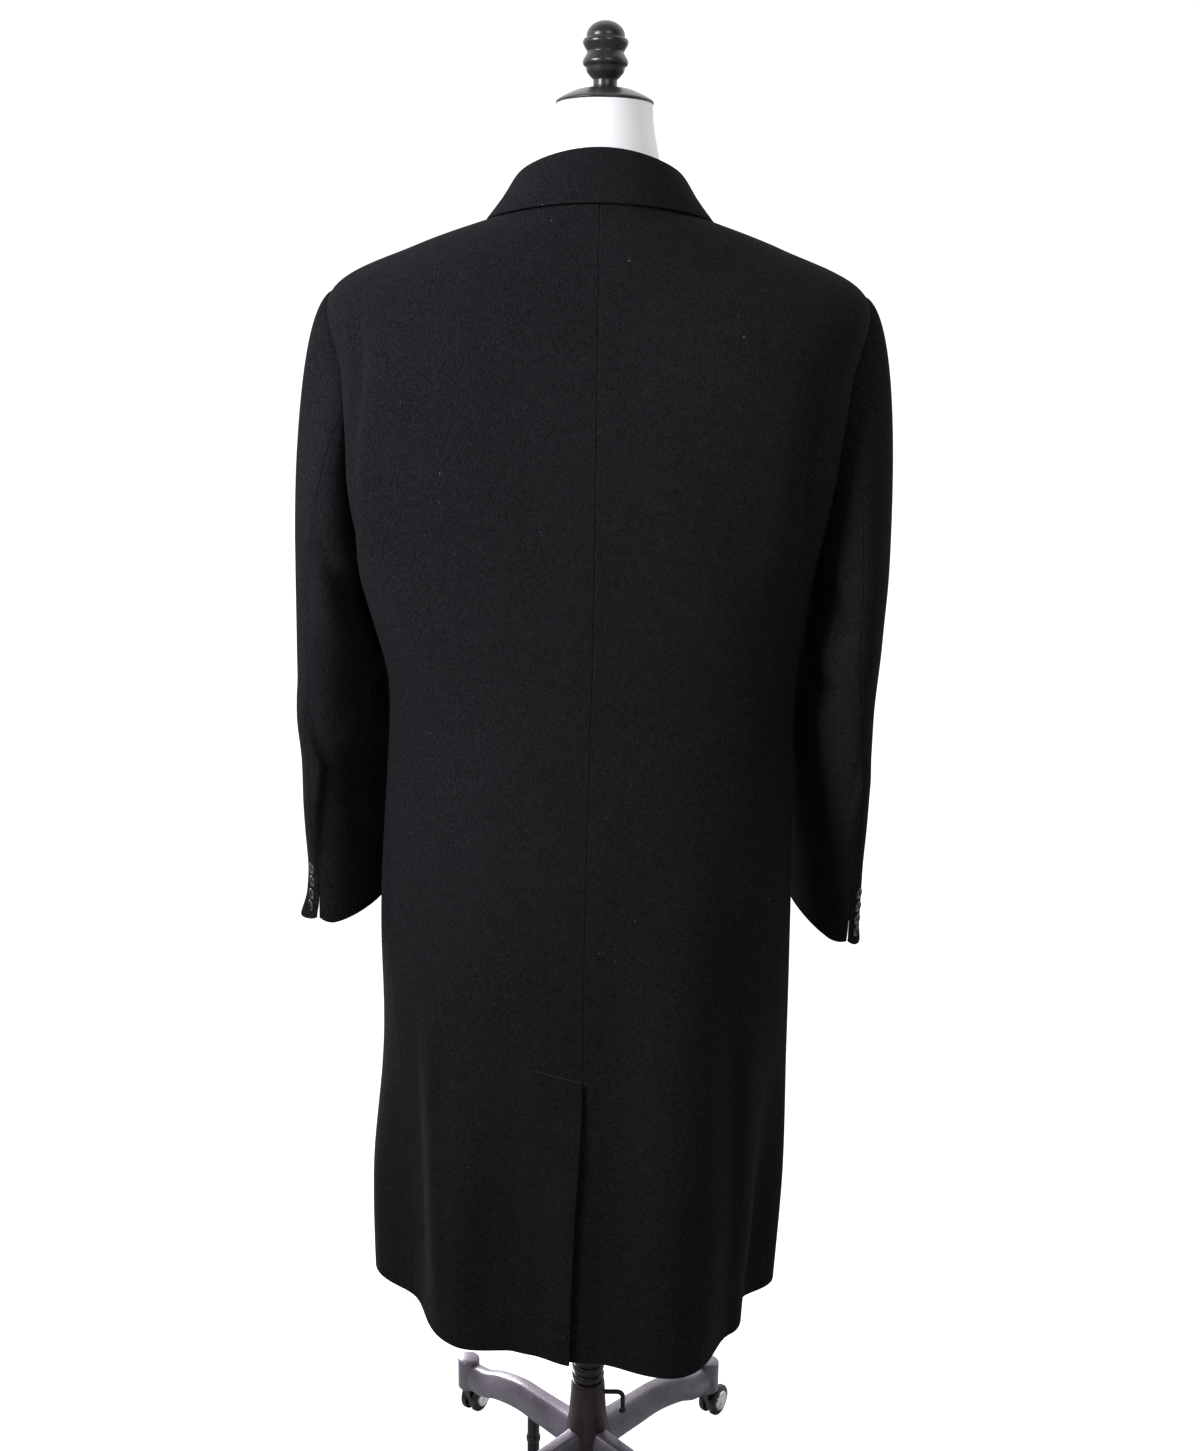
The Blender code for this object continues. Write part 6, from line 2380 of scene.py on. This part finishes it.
    def build_lever(self) -> None:
        """Builds the clamp screw's bent handle, with a ball at its end."""
        bend, ball = 0.006, 1.6 * self.lever_radius
        route = [(-0.0132, 0.0), (-self.lever_reach + bend, 0.0)]
        route += [(-self.lever_reach + bend * (1 - math.sin(turn)), -bend * (1 - math.cos(turn)))
                  for turn in np.linspace(0.0, math.pi / 2, 10)[1:]]
        route.append((-self.lever_reach, -self.lever_drop))
        path = np.array([(x, 0.0, z) for x, z in route])
        along = unit(np.gradient(path, axis=0))
        rings = []
        for place, way in zip(path, along):
            side = np.array([way[2], 0.0, -way[0]])
            rings.append([tuple(place + self.lever_radius * (math.cos(turn) * side + math.sin(turn)
                                                             * np.array([0.0, 1.0, 0.0])))
                          for turn in np.linspace(0.0, math.tau, 24, endpoint=False)])
        rod, rod_faces = lofted(rings)
        outline = [(ball * math.sin(turn), -self.lever_drop + ball * math.cos(turn))
                   for turn in np.linspace(0.0, math.pi, 17)]
        outline[-1] = (0.0, outline[-1][1])
        knob, knob_faces = turned_shell(outline, 24, len(rod))
        knob = [(x - self.lever_reach, y, z) for x, y, z in knob]
        points = np.array([*rod, *knob]) + np.array([0.0, 0.0, self.lever_height])
        lever = mesh_object("clamp_lever_steel", points, [*rod_faces, *knob_faces], Finish.STEEL)
        mesh_outward(lever)
        stand_for(lever, "clamp_lever")

    def build(self) -> None:
        """Builds every fixed piece of the stand, and the pole."""
        self.build_foot()
        self.build_collar()
        self.build_lever()
        pole = rounded(((0, self.pole_top), (self.pole_radius, self.pole_top),
                        (self.pole_radius, self.pole_bottom), (0, self.pole_bottom)), 0.001, 4)
        stand_for(turned("pole_steel", pole, Finish.STEEL, 64), "pole")
        yaw, r = math.radians(LEG_YAWS["left_front"]), self.post_radius
        place = Matrix.Translation((self.post_distance * math.cos(yaw),
                                    self.post_distance * math.sin(yaw), 0.0))
        post = rounded(((0, 0.0597), (r, 0.0597), (r, 0.0340), (0.0050, 0.0340), (0.0050, 0.0260),
                        (r, 0.0260), (r, 0.0055), (r - 0.0015, 0.0040), (0, 0.0040)), 0.0006, 3)
        stand_for(turned("leg_post_paint", post, Finish.STEEL, 40, place), "leg_post")
        inner = 0.0050 + self.gap
        ring = [(inner, 0.0337)]
        ring += [(r + 0.0002 + 0.0010 * math.sin(turn), 0.0300 + 0.0037 * math.cos(turn))
                 for turn in np.linspace(0.0, math.pi, 12)]
        ring.append((inner, 0.0263))
        stand_for(turned("post_ring_rubber", ring, Finish.PLASTIC, 40, place), "post_ring")


@dataclass
class Caster:
    """A twin-wheel caster under one leg."""

    name: str
    radius: float = 0.0180
    half_width: float = 0.0105
    inner: float = 0.0038
    axle: float = 0.0030
    trail: float = 0.0150
    boss_distance: float = 0.1970
    flat_sides: int = 14
    gap: float = 0.0003

    def build(self) -> None:
        """Builds the wheels, their discs and the housing."""
        yaw, way = math.radians(LEG_YAWS[self.name]), math.radians(CASTER_YAWS[self.name])
        stem = Vector((math.cos(yaw), math.sin(yaw), 0.0)) * self.boss_distance
        trail = Vector((math.cos(way), math.sin(way), 0.0))
        axle = Vector((-trail.y, trail.x, 0.0))
        lift = self.radius * math.cos(math.pi / self.flat_sides)
        hub = stem + trail * self.trail + Vector((0.0, 0.0, lift))
        half, low = self.half_width, lift
        tread = rounded(((low - 0.0052, half), (low - 0.0014, half), (low, half - 0.0020),
                         (low, self.inner), (self.axle, self.inner)), 0.0006, 3)
        edge = [(0.0, half - 0.0008), (low - 0.0062, half - 0.0008), *tread]
        outline = [*edge, *((radius, -height) for radius, height in reversed(edge))]
        place = Matrix.Translation(hub) @ toward(axle)
        stand_for(turned(f"wheels_{self.name}_moulding", outline, Finish.PLASTIC, 64, place),
                  f"caster_wheels_{self.name}")
        face = rounded(((0, 0.0022), (0.0030, 0.0021), (0.0042, 0.0012), (0.0090, 0.0010),
                        (0.0106, 0.0014), (0.0114, 0.0006), (0.0117, -0.0006), (0, -0.0006)),
                       0.0008, 3)
        for label, side in (("a", 1), ("b", -1)):
            matrix = (Matrix.Translation(hub + axle * side * (half + self.gap))
                      @ toward(axle * side))
            stand_for(turned(f"disc_{label}_{self.name}_chrome", face, Finish.CHROME, 64, matrix),
                      f"caster_disc_{label}_{self.name}")
        node = f"caster_housing_{self.name}"
        stand_for(refined(f"{node}_moulding", node, Finish.PLASTIC, 0.0003), node)


# ---------------------------------------------------------------- the studio
class Lamp(NamedTuple):
    """A square soft light: its side in metres, its power in watts and its spread in degrees."""

    name: str
    place: tuple[float, float, float]
    aim: tuple[float, float, float]
    size: float
    power: float
    spread: float
    colour: tuple[float, float, float]


LAMPS = (
    Lamp("key", (1.45, 1.10, 1.62), (0.06, 0.0, 1.12), 0.8, 7.1, 66.0, (0.96, 0.96, 1.0)),
    Lamp("fill", (-0.7, 2.4, 2.0), (0.0, 0.0, 1.20), 1.2, 1.5, 52.0, (1.0, 1.0, 1.0)),
    Lamp("low", (0.9, -1.3, 0.75), (0.0, 0.0, 0.08), 0.7, 6.0, 46.0, (1.0, 1.0, 1.0)),
)


@dataclass
class Studio:
    """A wide pale floor, a white backdrop in the air behind it, soft lights and the camera."""

    camera_place: tuple[float, float, float] = (-0.0032, 1.49, 1.215)
    camera_down: float = 13.2
    camera_roll: float = 0.79
    focal_pixels: float = 1586.0
    image_height: float = 1451.0
    sensor: float = 36.0
    floor_radius: float = 14.0
    floor_sides: int = 96
    backdrop: float = 1.15
    room: float = 0.12
    ceiling: float = 0.30

    def build_floor(self) -> None:
        """Builds the floor as a wide round sheet."""
        turn = np.linspace(0.0, math.tau, self.floor_sides, endpoint=False)
        points = np.stack([self.floor_radius * np.cos(turn), self.floor_radius * np.sin(turn),
                           np.zeros_like(turn)], -1)
        mesh = bpy.data.meshes.new("studio_floor")
        mesh.from_pydata(points.tolist(), [], [tuple(range(self.floor_sides))])
        floor = placed("studio_floor", mesh)
        n = Nodes("pale_paper")
        grain = n.noise(n.place((1.0, 1.0, 1.0)), 40.0, 3.0)
        n.fill(n.shader, Base_Color=n.blend(grain, (0.30, 0.30, 0.31), (0.33, 0.33, 0.34)),
               Roughness=0.9, Emission_Color=(1.0, 1.0, 1.0, 1.0))
        rays = n.add("ShaderNodeLightPath")
        n.fill(n.shader, Emission_Strength=rays.outputs["Is Camera Ray"])
        mesh.materials.append(n.material)

    def build_lamps(self) -> None:
        """Builds the lights, each turned to its aim."""
        for lamp in LAMPS:
            data = bpy.data.lights.new(lamp.name, "AREA")
            data.shape, data.size, data.energy = "SQUARE", lamp.size, lamp.power
            data.color, data.spread = lamp.colour, math.radians(lamp.spread)
            light = placed(lamp.name, data)
            light.location = lamp.place
            way = Vector(lamp.aim) - Vector(lamp.place)
            light.rotation_euler = way.to_track_quat("-Z", "Y").to_euler()

    def build_camera(self) -> None:
        """Builds the camera at the photograph's viewing angle."""
        data = bpy.data.cameras.new("camera")
        data.sensor_width = self.sensor
        data.lens = self.focal_pixels * self.sensor / self.image_height
        camera = placed("camera", data)
        down = math.radians(self.camera_down)
        right = Vector((-1.0, 0.0, 0.0))
        up = Vector((0.0, -math.sin(down), math.cos(down)))
        turn = Matrix((right, up, right.cross(up))).transposed().to_4x4()
        camera.matrix_world = (Matrix.Translation(self.camera_place) @ turn
                               @ Matrix.Rotation(math.radians(self.camera_roll), 4, "Z"))
        bpy.context.scene.camera = camera

    def build_air(self) -> None:
        """A white backdrop behind, a bright ceiling and a dim room on the camera's side."""
        world = bpy.data.worlds.new("studio_air")
        world.use_nodes = True
        tree = world.node_tree
        background = tree.nodes["Background"]
        where = tree.nodes.new("ShaderNodeTexCoord")
        split = tree.nodes.new("ShaderNodeSeparateXYZ")
        tree.links.new(where.outputs["Generated"], split.inputs[0])
        parts = []
        for axis, (low, high), (first, last) in (("Y", (-0.25, 0.35), (self.backdrop, self.room)),
                                                 ("Z", (0.35, 0.95), (0.0, self.ceiling))):
            part = tree.nodes.new("ShaderNodeMapRange")
            for name, value in (("From Min", low), ("From Max", high), ("To Min", first),
                                ("To Max", last)):
                part.inputs[name].default_value = value
            tree.links.new(split.outputs[axis], part.inputs["Value"])
            parts.append(part.outputs[0])
        brighter = maths(tree, "MAXIMUM", *parts)
        seen = tree.nodes.new("ShaderNodeMix")
        rays = tree.nodes.new("ShaderNodeLightPath")
        tree.links.new(rays.outputs["Is Camera Ray"], seen.inputs["Factor"])
        tree.links.new(brighter, seen.inputs["A"])
        seen.inputs["B"].default_value = self.backdrop
        background.inputs["Color"].default_value = (1.0, 1.0, 1.0, 1.0)
        tree.links.new(seen.outputs[0], background.inputs["Strength"])
        bpy.context.scene.world = world

    def build(self) -> None:
        """Builds the floor, the lights and the camera."""
        self.build_floor()
        self.build_lamps()
        self.build_air()
        bpy.context.scene.view_settings.view_transform = "Standard"
        self.build_camera()


def main() -> None:
    """Builds the coat, the form, the stand's finishes and the studio, in that order."""
    logging.basicConfig(level=logging.INFO, format="%(name)s: %(message)s")
    shape = BodyShape()
    body = CoatBody(shape)
    lapels, collar = Lapels(body), Collar(body)
    sleeves = [Sleeve(body, 1, "left", Flare(0.0090)), Sleeve(body, -1, "right", Flare(0.0034))]
    coat = [body, lapels, collar, *sleeves]
    for part in coat:
        part.build()
        LOG.info("built %s", type(part).__name__)
    Trimmings(body, sleeves).build()
    DressForm(shape).build()
    for part in coat:
        part.hand_over()
    FormTop().build()
    Stand().build()
    for name in LEG_YAWS:
        Caster(name).build()
    stand_for(refined("brake_tab_moulding", "brake_tab", Finish.PLASTIC, 0.0004), "brake_tab")
    LOG.info("built the form and the stand")
    Studio().build()


if __name__ == "__main__":
    main()
